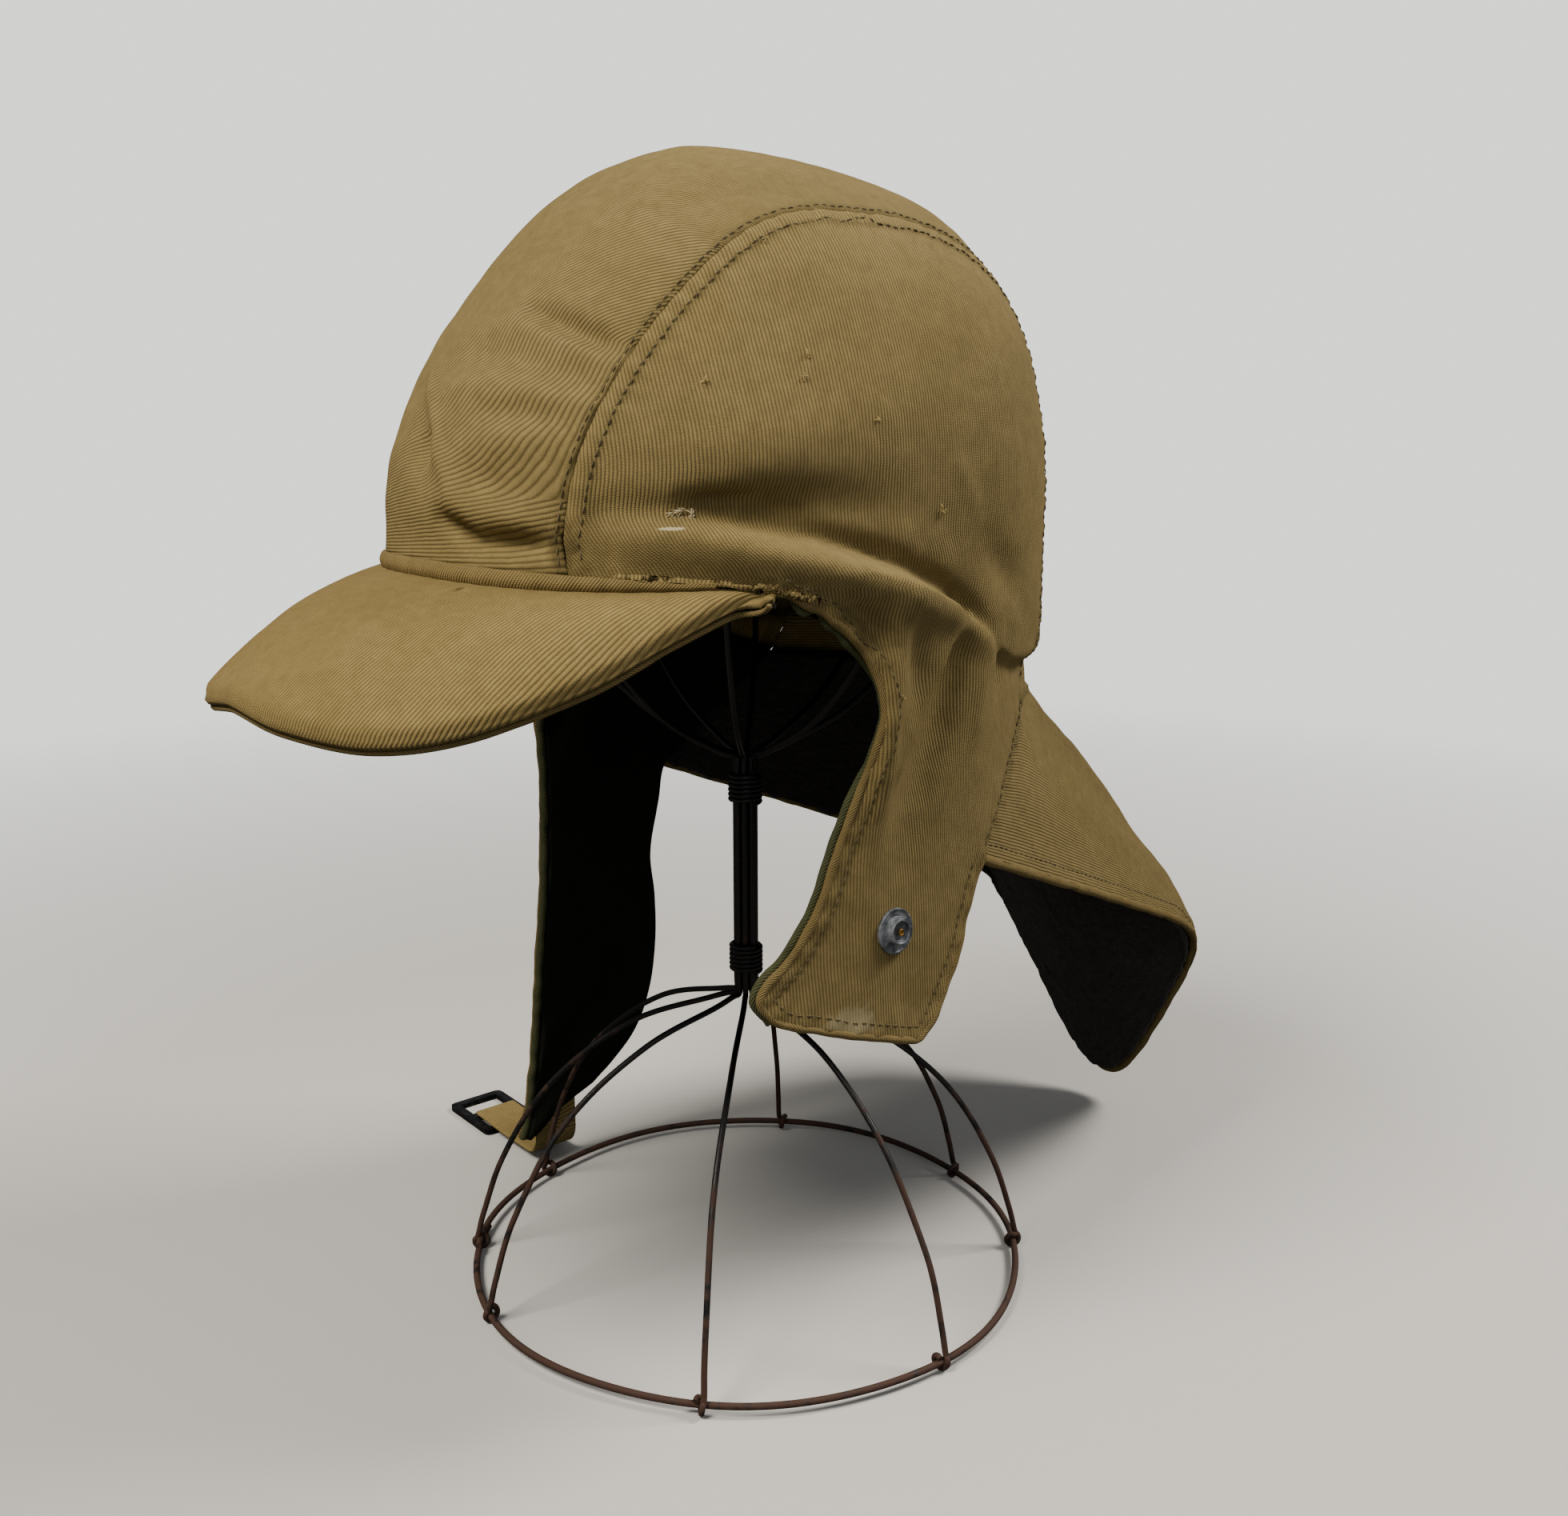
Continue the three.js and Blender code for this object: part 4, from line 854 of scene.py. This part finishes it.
def radiusAt(angle, z):
    low, high = np.zeros_like(angle), np.full_like(angle, 226)
    for _ in range(40):
        middle = (low + high) / 2
        back = middle * np.sin(angle)
        up = np.maximum(z - crown["widest"], 0)
        share = np.hypot(back, up) / outlineRadius(np.arctan2(up, back))
        sideShare = np.abs(middle * np.cos(angle)) / crown["halfWidth"]
        total = sideShare ** crown["power"] + share ** crown["power"]
        low, high = np.where(total < 1, middle, low), np.where(total < 1, high, middle)
    return low


def bowlGrid(depth):
    angle = -np.linspace(0, 2 * np.pi, bowl["sides"] + 1)[None]
    climb = np.linspace(0, 0.985, bowl["rows"])[:, None]
    rim = crown["rimFront"] - (crown["nape"] - 3) * ease(0.55, 0.9, np.sin(angle))
    z = rim + (crown["widest"] + 0.995 * crown["rise"] - rim) * np.sin(climb * np.pi / 2)
    angle = angle + 0 * z
    scale = 1 - depth / crown["halfWidth"]
    radius = scale * radiusAt(angle, z)
    top = crown["rise"] - depth
    drawn = np.where(z > crown["widest"], crown["widest"] + (z - crown["widest"]) * top / crown["rise"], z)
    return np.stack([radius * np.cos(angle), crown["centreY"] + radius * np.sin(angle), drawn], axis=-1)


bowlPoints = bowlGrid(bowl["depth"])
bowlPoints = bowlPoints + normalsOf(bowlPoints) * (0.8 * lumps(bowlPoints, 20, 9))[..., None]
bowlUv = np.stack([bowlPoints[..., 0] + bowlPoints[..., 1], bowlPoints[..., 2]], axis=-1)
makePiece("crown_lining_cloth", [sheetPart(bowlPoints, cloth["lining"], bowlUv)], olive, "olive_lining",
          "lining_crown")

print("stage: neck flap")
neckRibs = table(
    "u x reach drop bow",
    (0, 0, 1, 1, 13),
    (0.1, 0.17, 1, 0.99, 13),
    (0.3, 0.66, 0.965, 0.8, 12),
    (0.46, 1, 0.937, 0.66, 9),
    (0.52, 1.06, 0.9, 0.63, 8),
    (0.76, 1.4, 0.5, 0.49, 4),
)
neck = {"reach": 207, "drop": 243, "shoulderX": 56}


def neckGrid(down, across):
    # down: 0 the top edge, 1 the hem; across: 1 the left neck seam, -1 the right one
    down, across = np.meshgrid(down, across, indexing="ij")
    share = np.abs(across)
    places = column(neckRibs, "u")
    outer = places[-1]
    rib = np.minimum(share, outer)
    top = drape(crownPoint(rib * seamX(np.full_like(rib, 2.0)), 2.0))
    top[..., 2] -= 0.4
    hem = np.stack([neck["shoulderX"] * np.interp(rib, places, column(neckRibs, "x")),
                    neck["reach"] * np.interp(rib, places, column(neckRibs, "reach")),
                    -neck["drop"] * np.interp(rib, places, column(neckRibs, "drop"))], axis=-1)
    bow = np.interp(rib, places, column(neckRibs, "bow"))
    middle = (top + hem) / 2 + np.stack([0 * bow, bow, 0.4 * bow], axis=-1)
    t = down[..., None]
    points = (1 - t) ** 2 * top + 2 * t * (1 - t) * middle + t * t * hem
    at = templeRow + len(rootRows) * down[:, 0]
    edge = sideGrid(1, left["rows"], at, np.array([[1.0]]))[:, 0]
    edge[:, 1] -= 0.3
    edge[:, 2] -= 0.4 * (1 - down[:, 0])
    pull = np.clip((share - outer) / (1 - outer), 0, 1)[..., None]
    points = points + (edge[:, None] - points) * pull
    points[..., 0] *= np.sign(across)
    return points


def softened(points, times):
    # evens out the kinks between the ribs; the border stays
    for _ in range(times):
        inner = (points[:-2, 1:-1] + points[2:, 1:-1] + points[1:-1, :-2] + points[1:-1, 2:]) / 4
        points[1:-1, 1:-1] = inner
    return points


def roundedHem(points, times):
    for _ in range(times):
        points[-1, 1:-1] = (points[-1, :-2] + points[-1, 2:]) / 2
    return softened(points, 30)


neckRows, neckColumns = 112, 190
neckPoints = roundedHem(neckGrid(np.linspace(0, 1, neckRows), np.linspace(1, -1, neckColumns)), 40)
neckDown = np.linalg.norm(np.diff(neckPoints, axis=0), axis=2)[::-1]
fromHem = np.concatenate([np.zeros((1, neckColumns)), np.cumsum(neckDown, axis=0)])[::-1]
neckSide = np.linalg.norm(np.diff(neckPoints, axis=1), axis=2)
fromLeft = np.concatenate([np.zeros((neckRows, 1)), np.cumsum(neckSide, axis=1)], axis=1)
neckUv = np.stack([fromHem, fromLeft], axis=-1)
neckTop, neckHem = neckPoints[0], neckPoints[-1]
neckFolds = 1.4 * np.sin(fromHem / 12 + 1.6 * lumps(neckPoints, 40, 10)) * ease(0, 40, fromHem) * 0.5
fromSide = np.minimum(fromLeft, fromLeft[:, -1:] - fromLeft)
neckFolds *= ease(0, 15, fromSide)
neckPoints = neckPoints + normalsOf(neckPoints) * neckFolds[..., None]
neckSeams = [(neckTop, allowance["neck"], stitchRow["neck"])]
neckSeams += [(neckPoints[:, k], allowance["neckSide"], stitchRow["neckSide"]) for k in (0, -1)]
neckSheet = panel(neckPoints, neckUv, neckSeams, [(neckHem, stitchRow["neckHem"])])
makePiece("neck_flap_cloth", [neckSheet["part"]], khaki, "khaki_cotton", "neck_flap")
hemPath, hemUp = evened(neckSheet["points"][-1], neckSheet["normals"][-1], 1.2)
hemSwell = 1 + 0.08 * np.sin(arcLength(hemPath) / 3.3) + 0.08 * lumps(hemPath, 5, 11)
hemRope = tubePart(hemPath - hemUp * 1.1, 3.4 * hemSwell, 3.0 * hemSwell, 8, hemUp, 0.1, 1.2)
makePiece("neck_hem_roll", [hemRope], trimCloth, "khaki_cotton")

pilePoints = roundedHem(neckGrid(np.linspace(0, 0.985, 100), np.linspace(0.998, -0.998, 170)), 30)
pilePoints = pilePoints - normalsOf(pilePoints) * (cloth["wall"] + cloth["layerGap"])
ragged = 1.1 * np.abs(lumps(pilePoints, 3.2, 12)) + 0.7 * np.abs(lumps(pilePoints, 1.4, 13))
ragged += 0.6 * lumps(pilePoints, 14, 14)
pilePoints[-1] += unit(pilePoints[-1] - pilePoints[-2]) * (2.2 * lumps(pilePoints[-1], 3, 15) - 0.6)[:, None]
pileUv = np.stack([pilePoints[..., 0], pilePoints[..., 2]], axis=-1)
makePiece("neck_pile_lining", [sheetPart(pilePoints, cloth["lining"], pileUv, None, ragged)],
          pile, "pile_lining", "lining_neck")

print("stage: bill and welt")
billRibs = table(
    "u root x reach drop",
    (0, 0, 0, 1, 0.78),
    (0.22, 0.24, 0.34, 0.98, 0.87),
    (0.42, 0.48, 0.64, 0.9, 0.93),
    (0.6, 0.7, 0.84, 0.78, 0.82),
    (0.78, 0.86, 0.95, 0.61, 0.58),
    (0.9, 0.95, 1.01, 0.46, 0.26),
    (1, 0.985, 1.05, 0.34, 0),
)
billSize = {"reach": 179, "halfWidth": 83, "drop": 37, "rise": 7, "top": 1.984, "under": 1.088, "gap": 0.3}
welt = {"halfWidth": 76, "height": 4, "gap": 1, "wall": 2.2, "tuck": 1.1}


def weltDrop(x):
    return welt["height"] * (1 - 0.75 * (np.minimum(np.abs(x), welt["halfWidth"]) / welt["halfWidth"]) ** 4)


def rimLine(x, below):
    points = drape(crownPoint(x, -1.0))
    points[..., 2] -= below
    return points


billOut, billAcross = np.meshgrid(np.linspace(0, 1, 64), np.linspace(-1, 1, 170), indexing="ij")
billShare = np.abs(billAcross)
billPlaces = column(billRibs, "u")
rootX = billSize["halfWidth"] * smooth(billShare, billPlaces, column(billRibs, "root"))
billRoot = rimLine(rootX, welt["gap"] + weltDrop(rootX) - 0.4)
billEdge = np.stack([billSize["halfWidth"] * smooth(billShare, billPlaces, column(billRibs, "x")),
                     -billSize["reach"] * smooth(billShare, billPlaces, column(billRibs, "reach")),
                     billRoot[..., 2]
                     - billSize["drop"] * smooth(billShare, billPlaces, column(billRibs, "drop"))], axis=-1)
billPoints = billRoot + (billEdge - billRoot) * billOut[..., None]
billPoints[..., 2] += billSize["rise"] * 4 * billOut * (1 - billOut) * (1 - billShare ** 4)
billPoints[..., 0] *= np.sign(billAcross)
billUv = np.stack([billPoints[..., 0], -billPoints[..., 1]], axis=-1)
billHeight = 0.8 * lumps(billPoints, 38, 16) + 0.25 * lumps(billPoints, 10, 17)
billAway = nearest(billPoints[-1], billPoints)[0]
billHeight -= 2.2 * (1 - ease(0, 5.5, billAway)) ** 2  # the cloth rolls over the edge
billWear = 0.35 * (1 - ease(0, 2.5, billAway))
billHeight *= ease(0, 0.08, billOut)
billPoints = billPoints + normalsOf(billPoints) * billHeight[..., None]
billNormals = normalsOf(billPoints)
makePiece("bill_cloth", [sheetPart(billPoints, billSize["top"], billUv, billWear)],
          billCloth, "khaki_cotton", "bill")
underBill = billPoints - billNormals * (billSize["top"] + billSize["gap"])
# the khaki underside takes the near-black lining material: painted shade under the bill
makePiece("bill_underside", [sheetPart(underBill, billSize["under"], billUv)], olive, "khaki_cotton")
edgePath, edgeUp = evened(billPoints[-1], billNormals[-1], 1.2)
edgeAway = np.cross(unit(np.gradient(edgePath, axis=0)), edgeUp)
edgeRope = tubePart(edgePath - edgeUp * 2.6 + edgeAway * 1.2, 1.9, 1.6, 8, edgeUp, 0.35, 1.0)
makePiece("bill_edge_roll", [edgeRope], trimCloth, "khaki_cotton")

weltX = welt["halfWidth"] * np.sin(np.linspace(-0.5, 0.5, 200) * np.pi)
weltDown, weltGrid = np.meshgrid(np.linspace(0, 1, 9), weltX, indexing="ij")
weltHeight = (weltDrop(weltGrid) + welt["tuck"]) * weltDown
weltPoints = rimLine(weltGrid, welt["gap"] - welt["tuck"] + weltHeight)
weltAway = unit(np.stack([weltGrid / crown["halfWidth"] ** 2,
                          (weltPoints[..., 1] - crown["centreY"]) / crown["front"] ** 2,
                           0 * weltGrid], axis=-1))
weltArc = np.concatenate([[0], np.cumsum(np.linalg.norm(np.diff(weltPoints[4], axis=0), axis=1))])
weltBulge = 1.0 + 0.9 * np.sin(np.pi * weltDown) + 0.18 * np.sin(weltArc / 1.4)[None]
weltBulge += 0.3 * lumps(weltPoints, 9, 18)
weltPoints = weltPoints + weltAway * weltBulge[..., None]
weltUv = np.stack([weltArc[None] + weltDown * 3, weltDown * 4], axis=-1)
weltWear = 0.25 * (1 - np.sin(np.pi * weltDown))
makePiece("bill_welt_cloth", [sheetPart(weltPoints, welt["wall"], weltUv, weltWear)],
          trimCloth, "khaki_cotton", "bill_welt")

print("stage: stitching")
stitches = []


def stitchBeside(sheet, edge, up, distance):
    stitches.append(stitchPart(*onPanel(sheet, inset(edge, up, distance))))


for sign, sheet, seam in ((1, left, seamLeft), (-1, right, seamRight)):
    path = resample(seam[8:-8], 1.0)
    stitchBeside(sheet, *onPanel(sheet, path), -sign * stitchRow["side"])
    stitchBeside(centre, *onPanel(centre, path), sign * stitchRow["centre"])
    stitchBeside(sheet, sheet["hem"], sheet["hemUp"], sign * stitchRow["flapHem"])
    stitchBeside(sheet, sheet["neck"], sheet["neckUp"], -sign * stitchRow["neck"])
stitchBeside(neckSheet, neckSheet["points"][-1], neckSheet["normals"][-1], stitchRow["neckHem"])
stitchBeside(neckSheet, neckSheet["points"][0], neckSheet["normals"][0], -stitchRow["neck"])
makePiece("stitching", stitches, thread, "khaki_cotton")

print("stage: torn hole, lint")


def fibre(start, direction, up, length, bend):
    t = np.linspace(0, 1, 9)[:, None]
    sideways = np.cross(direction, up)
    curl = sideways * t * t * chance.normal(0, 0.35)
    return start + direction * t * length + up * np.sin(t * np.pi) * bend + curl


holePlace = np.array([[72.3, -76.7, 24.9]])
holeAt, holeUp = onPanel(left, holePlace)
fibres = []
for k in range(44):
    spin = chance.uniform(0, 2 * math.pi)
    along = unit(np.array([0.35, 0.94, 0.02]))
    rim = along * 3.1 * math.cos(spin) + np.array([0, 0, 1.15]) * math.sin(spin)
    roundRim = unit(np.array([0, 0, 1]) * math.cos(spin) - along * 1.6 * math.sin(spin))
    start = holeAt[0] + rim * chance.uniform(0.85, 1.15) + holeUp[0] * 0.15
    direction = unit(roundRim + chance.normal(0, 0.45, 3))
    path = fibre(start, direction, holeUp[0], chance.uniform(0.8, 2.0), chance.uniform(0.15, 0.6))
    fibres.append(tubePart(path, np.full(9, 0.24), np.full(9, 0.24), 5))
makePiece("torn_hole_threads", fibres, paleThread, "khaki_cotton")

pills = []
pillPlaces = [(68.8, -67, 58.3), (78.4, -38.5, 65.4), (79.8, -41.1, 60.1), (92, -20, -30), (86, 5, 22),
              (60, -40, 97), (88, 16, -10), (84, -20, 48)]
for place in pillPlaces:
    at, up = onPanel(left, np.array([place]))
    for k in range(5):
        direction = unit(chance.normal(0, 1, 3))
        fluffRoot = at[0] + up[0] * 0.2 + chance.normal(0, 0.25, 3)
        path = fibre(fluffRoot, direction, up[0], chance.uniform(0.8, 2), 0.5)
        pills.append(tubePart(path, np.full(9, 0.3), np.full(9, 0.3), 5))
makePiece("lint_pills", pills, pillLint, "khaki_cotton")

print("stage: snap stud")
studPlace = np.array([[95.3, -17.0, -101.0]])
studAt, studUp = onPanel(left, studPlace)


def clearSelection():
    if bpy.context.object and bpy.context.object.mode != "OBJECT":
        bpy.ops.object.mode_set(mode="OBJECT")
    bpy.ops.object.select_all(action="DESELECT")


def turned(name, radius, depth, steps, vertices, place, axis, lift):
    # a disc whose top face goes in and up by each step, set square to an axis
    clearSelection()
    bpy.ops.mesh.primitive_cylinder_add(vertices=vertices, radius=radius / 1000, depth=depth / 1000,
                                        location=(0, 0, 0))
    piece = bpy.context.object
    piece.name = name
    bpy.ops.object.mode_set(mode="EDIT")
    bpy.ops.mesh.select_mode(type="FACE")
    bpy.ops.mesh.select_all(action="DESELECT")
    bpy.ops.object.mode_set(mode="OBJECT")
    for face in piece.data.polygons:
        face.select = face.normal.z > 0.9
    bpy.ops.object.mode_set(mode="EDIT")
    for inwards, rise in steps:
        if inwards:
            bpy.ops.mesh.inset(thickness=inwards / 1000)
        if rise:
            bpy.ops.mesh.extrude_region_move(TRANSFORM_OT_translate={"value": (0, 0, rise / 1000)})
    bpy.ops.object.mode_set(mode="OBJECT")
    turn = Vector((0, 0, 1)).rotation_difference(Vector(axis)).to_matrix().to_4x4()
    middle = Vector((np.array(place) + np.array(axis) * lift + shift) / 1000)
    piece.data.transform(Matrix.Translation(middle) @ turn)
    bevel = piece.modifiers.new("edges", "BEVEL")
    bevel.width = 0.00012
    bevel.segments = 2
    bpy.ops.object.modifier_apply(modifier="edges")
    for face in piece.data.polygons:
        face.use_smooth = True
    return piece


stud = {"radius": 7}
studSteps = [(0.6, -0.25), (1.9, 0.35), (0.4, 1.6), (0.3, 0.5), (0.5, -0.9), (0.6, -0.2)]
studPiece = turned("snap_stud_metal", stud["radius"], 1.1, studSteps, 48, studAt[0], studUp[0], 0.55)
studPiece.data.materials.append(gunmetal)
setUp(studPiece, "dark_metal", "snap_stud")
eyelet = turned("snap_stud_eyelet", 1.1, 0.6, [(0.45, -0.4)], 24, studAt[0], studUp[0], 3.1)
eyelet.data.materials.append(brass)
setUp(eyelet, "dark_metal")

print("stage: strap and slide")
strap = {"width": 18, "wall": 1.5, "length": 68, "bend": 9}
slideWall = 2.2
rightEnd = sideGrid(-1, right["rows"], np.array([len(right["rows"]) - 1.0]), np.array([[0.12, 0.88]]))[0]
endMiddle = rightEnd.mean(axis=0)
strapX = endMiddle[0] + cloth["wall"]
strapLow = floorZ + slideWall + 0.9
strapDrop = endMiddle[2] - strapLow - strap["bend"]
endSlope = (rightEnd[1][2] - rightEnd[0][2]) / (rightEnd[1][1] - rightEnd[0][1])
strapS, strapV = np.meshgrid(np.linspace(0, strap["length"], 70), np.linspace(-0.5, 0.5, 17) * strap["width"],
                             indexing="ij")
arc = strap["bend"] * math.pi / 2
turnAngle = np.clip((strapS - strapDrop) / strap["bend"], 0, math.pi / 2)
lying = np.maximum(strapS - strapDrop - arc, 0)
fall = np.clip(strapS / strapDrop, 0, 1)
strapTop = endMiddle[2] + endSlope * strapV + 3
strapZ = strapTop + (strapLow + strap["bend"] - strapTop) * fall - strap["bend"] * np.sin(turnAngle)
strapXs = strapX - strap["bend"] * (1 - np.cos(turnAngle)) - lying
strapPoints = np.stack([strapXs, endMiddle[1] + strapV, strapZ], axis=-1)
strapPoints[..., 2] += 0.35 * np.sin(strapS / 9) * ease(0, 8, lying) + 0.15
strapUv = np.stack([strapS, strapV], axis=-1)
makePiece("chin_strap_webbing", [sheetPart(strapPoints, strap["wall"], strapUv)],
          webbing, "tan_webbing", "chin_strap")
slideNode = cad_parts["strap_slide"]
slideNode.data.materials.clear()
slideNode.data.materials.append(blackMetal)
slideBevel = slideNode.modifiers.new("edges", "BEVEL")
slideBevel.width = 0.0004
slideBevel.segments = 2

print("stage: wire stand")
footAngles = [-163, -129, -100, -46, 2, 52, 85, 134]
baseOutline = [(0.985, 0.12), (0.91, 0.34), (0.72, 0.64), (0.42, 0.88), (0.13, 0.975), (0.06, 0.995)]
headOutline = [(0.085, 0.01), (0.18, 0.04), (0.5, 0.2), (0.84, 0.52), (0.98, 0.82)]
stand = {"wire": 1.05, "ring": 99, "ringWire": 1.2, "coil": 0.875, "bundle": 3.3,
         "top": -66, "bottom": -153, "dome": 71}
ringZ = floorZ + 3.5  # the hooks' lower side is on the floor


def polar(radius, degrees, z):
    turn = math.radians(degrees)
    return np.array([radius * math.cos(turn), radius * math.sin(turn), z])


def wirePiece(name, path, radius, node):
    clearSelection()
    bpy.ops.curve.primitive_nurbs_path_add(location=(0, 0, 0))
    curve = bpy.context.object.data
    curve.splines.clear()
    line = curve.splines.new("POLY")
    line.points.add(len(path) - 1)
    for point, place in zip(line.points, (path + shift) / 1000):
        point.co = (*place, 1)
    curve.bevel_depth = radius / 1000
    curve.bevel_resolution = 3
    curve.use_fill_caps = True
    bpy.ops.object.convert(target="MESH")
    piece = bpy.context.object
    piece.name = name
    piece.data.polygons.foreach_set("use_smooth", [True] * len(piece.data.polygons))
    piece.data.materials.clear()
    piece.data.materials.append(wireBlack)
    setUp(piece, "black_wire", node)


def threaded(points, step):
    # smooth line through the points
    points = np.array(points)
    places = np.concatenate([[0], np.cumsum(np.sqrt(np.linalg.norm(np.diff(points, axis=0), axis=1)))])
    at = []
    for i in range(len(points) - 1):
        count = max(int(np.linalg.norm(points[i + 1] - points[i]) / step), 5)
        at += list(places[i] + (places[i + 1] - places[i]) * np.arange(count) / count)
    at = np.array(at + [places[-1]])
    return np.stack([smooth(at, places, points[:, k]) for k in range(3)], axis=1)


def standWire(index):
    even = -177.5 + 45 * index
    foot = footAngles[index]
    hook = stand["wire"] + stand["ringWire"]
    radial, tangent = polar(1, foot, 0), polar(1, foot + 90, 0)
    heart = polar(stand["ring"], foot, ringZ)
    points = []
    for k in range(13):
        spin = math.radians(-300 + k * 30)
        drift = (k - 12) * 0.22
        spoke = radial * math.cos(spin) + np.array([0, 0, math.sin(spin)])
        points.append(heart + spoke * hook + tangent * drift)
    for share, height in baseOutline:
        angle = even + (foot - even) * float(ease(0, 0.7, share))
        ringTop = floorZ + 3.5
        points.append(polar(share * stand["ring"], angle, ringTop + (stand["bottom"] - ringTop) * height))
    for share in (0, 0.06, 0.5, 0.94, 1):
        z = stand["bottom"] + (stand["top"] - stand["bottom"]) * share
        points.append(polar(stand["bundle"], even, z))
    for share, height in headOutline:
        z = stand["top"] + (crown["widest"] - stand["top"]) * height
        points.append(polar(share * stand["dome"], even, z))
    domeTop = crown["widest"] + crown["rise"] - bowl["depth"] - cloth["lining"] - 1.2 - stand["wire"]
    for share in (0, 0.25, 0.5, 0.75, 1):
        climb = math.acos(stand["bundle"] / stand["dome"]) * share
        z = crown["widest"] + (domeTop - crown["widest"]) * math.sin(climb)
        points.append(polar(stand["dome"] * math.cos(climb), even, z))
    path = threaded(points, 2.2)
    bent = np.stack([lumps(path, 30, 20 + k) for k in range(3)], axis=1)
    return path + 0.5 * bent * ease(-150, -200, path[:, 2])[:, None]


for k in range(8):
    node = "stand_wire_" + str(k + 1)
    wirePiece(node + "_steel", standWire(k), stand["wire"], node)

ringTurn = np.linspace(0, 1, 241) * 2 * math.pi * 1.03 + 3.9  # the ends overlap
ringPath = np.stack([stand["ring"] * np.cos(ringTurn), stand["ring"] * np.sin(ringTurn),
                     ringZ + 1.2 * np.linspace(-1, 1, 241) ** 9], axis=1)
ringPath[:, :2] *= (1 + 0.006 * np.sin(ringTurn * 3 + 1) + 0.004 * np.sin(ringTurn * 7))[:, None]
wirePiece("base_ring_steel", ringPath, stand["ringWire"], "base_ring")


def coil(name, low, node):
    turns, count = 6, 6 * 22
    angle = np.linspace(0, turns * 2 * math.pi, count)
    radius = stand["bundle"] + stand["wire"] + 0.8
    z = low + 0.8 + np.linspace(0, 9.9, count)
    path = np.stack([radius * np.cos(angle), radius * np.sin(angle), z], axis=1)
    wirePiece(name, path, stand["coil"], node)


coil("binding_coil_upper", stand["top"] - 6 - 11.5, "binding_upper")
coil("binding_coil_lower", stand["bottom"] + 7.5, "binding_lower")

print("stage: floor, light, camera")
clearSelection()
bpy.ops.mesh.primitive_plane_add(size=12, location=(0, 0, 0))
floor = bpy.context.object
floor.name = "floor"
floorMaterial, floorTree, floorShader, floorPlace = startMaterial("pale matt paint")
seenFloor = addNode(floorTree, "ShaderNodeLightPath").outputs["Is Camera Ray"]
floorColour = mixColour(floorTree, seenFloor, linear("#5a5955"), linear("#d4d3cf"))  # little light from below
floorTree.links.new(floorColour, floorShader.inputs["Base Color"])
floorShader.inputs["Roughness"].default_value = 0.9
fromMiddle = addNode(floorTree, "ShaderNodeVectorMath", {0: floorPlace}, operation="LENGTH").outputs["Value"]
fade = ramp(floorTree, fromMiddle, 0.3, 1.1)
clear = addNode(floorTree, "ShaderNodeBsdfTransparent").outputs[0]
blend = addNode(floorTree, "ShaderNodeMixShader", {0: fade, 1: floorShader.outputs[0], 2: clear}).outputs[0]
floorTree.links.new(blend, floorTree.nodes["Material Output"].inputs[0])  # fades into the pale room
floor.data.materials.append(floorMaterial)

world = bpy.data.worlds.new("pale room")
bpy.context.scene.world = world
world.use_nodes = True
backLight = world.node_tree.nodes["Background"]
backLight.inputs[0].default_value = linear("#d9d9d6")
seen = addNode(world.node_tree, "ShaderNodeLightPath").outputs["Is Camera Ray"]
strength = ramp(world.node_tree, seen, 0.0, 1.0, 0.22, 2.1)  # bright to the eye, weak as a light
world.node_tree.links.new(strength, backLight.inputs[1])

target = Vector((0.04, -0.01, 0.27))


def areaLight(name, place, size, power, colour):
    light = bpy.data.lights.new(name, "AREA")
    light.size = size
    light.energy = power
    light.color = linear(colour)[:3]
    lamp = bpy.data.objects.new(name, light)
    lamp.location = place
    lamp.rotation_euler = (target - Vector(place)).to_track_quat("-Z", "Y").to_euler()
    bpy.context.scene.collection.objects.link(lamp)


areaLight("key above", (0.1, -0.85, 1.2), 0.5, 20, "#fff6ea")
areaLight("fill right", (1.1, -0.4, 0.75), 0.9, 2.2, "#f6f7ff")
areaLight("top back", (0.5, 0.8, 1.15), 0.4, 17, "#fff8f0")

view = {"azimuth": 52, "distance": 530, "height": 55, "yaw": 1.46, "pitch": 13, "focal": 1965, "width": 1960}
azimuth, yaw, pitch = (math.radians(view[k]) for k in ("azimuth", "yaw", "pitch"))
place = np.array([view["distance"] * math.sin(azimuth), -view["distance"] * math.cos(azimuth),
                  view["height"]])
heading = azimuth - yaw
forward = Vector((-math.sin(heading) * math.cos(pitch), math.cos(heading) * math.cos(pitch),
                  -math.sin(pitch)))
cameraData = bpy.data.cameras.new("photo view")
cameraData.sensor_width = 36
cameraData.lens = 36 * view["focal"] / view["width"]
camera = bpy.data.objects.new("photo view", cameraData)
camera.location = Vector((place + shift) / 1000)
camera.rotation_euler = forward.to_track_quat("-Z", "Y").to_euler()
bpy.context.scene.collection.objects.link(camera)
bpy.context.scene.camera = camera
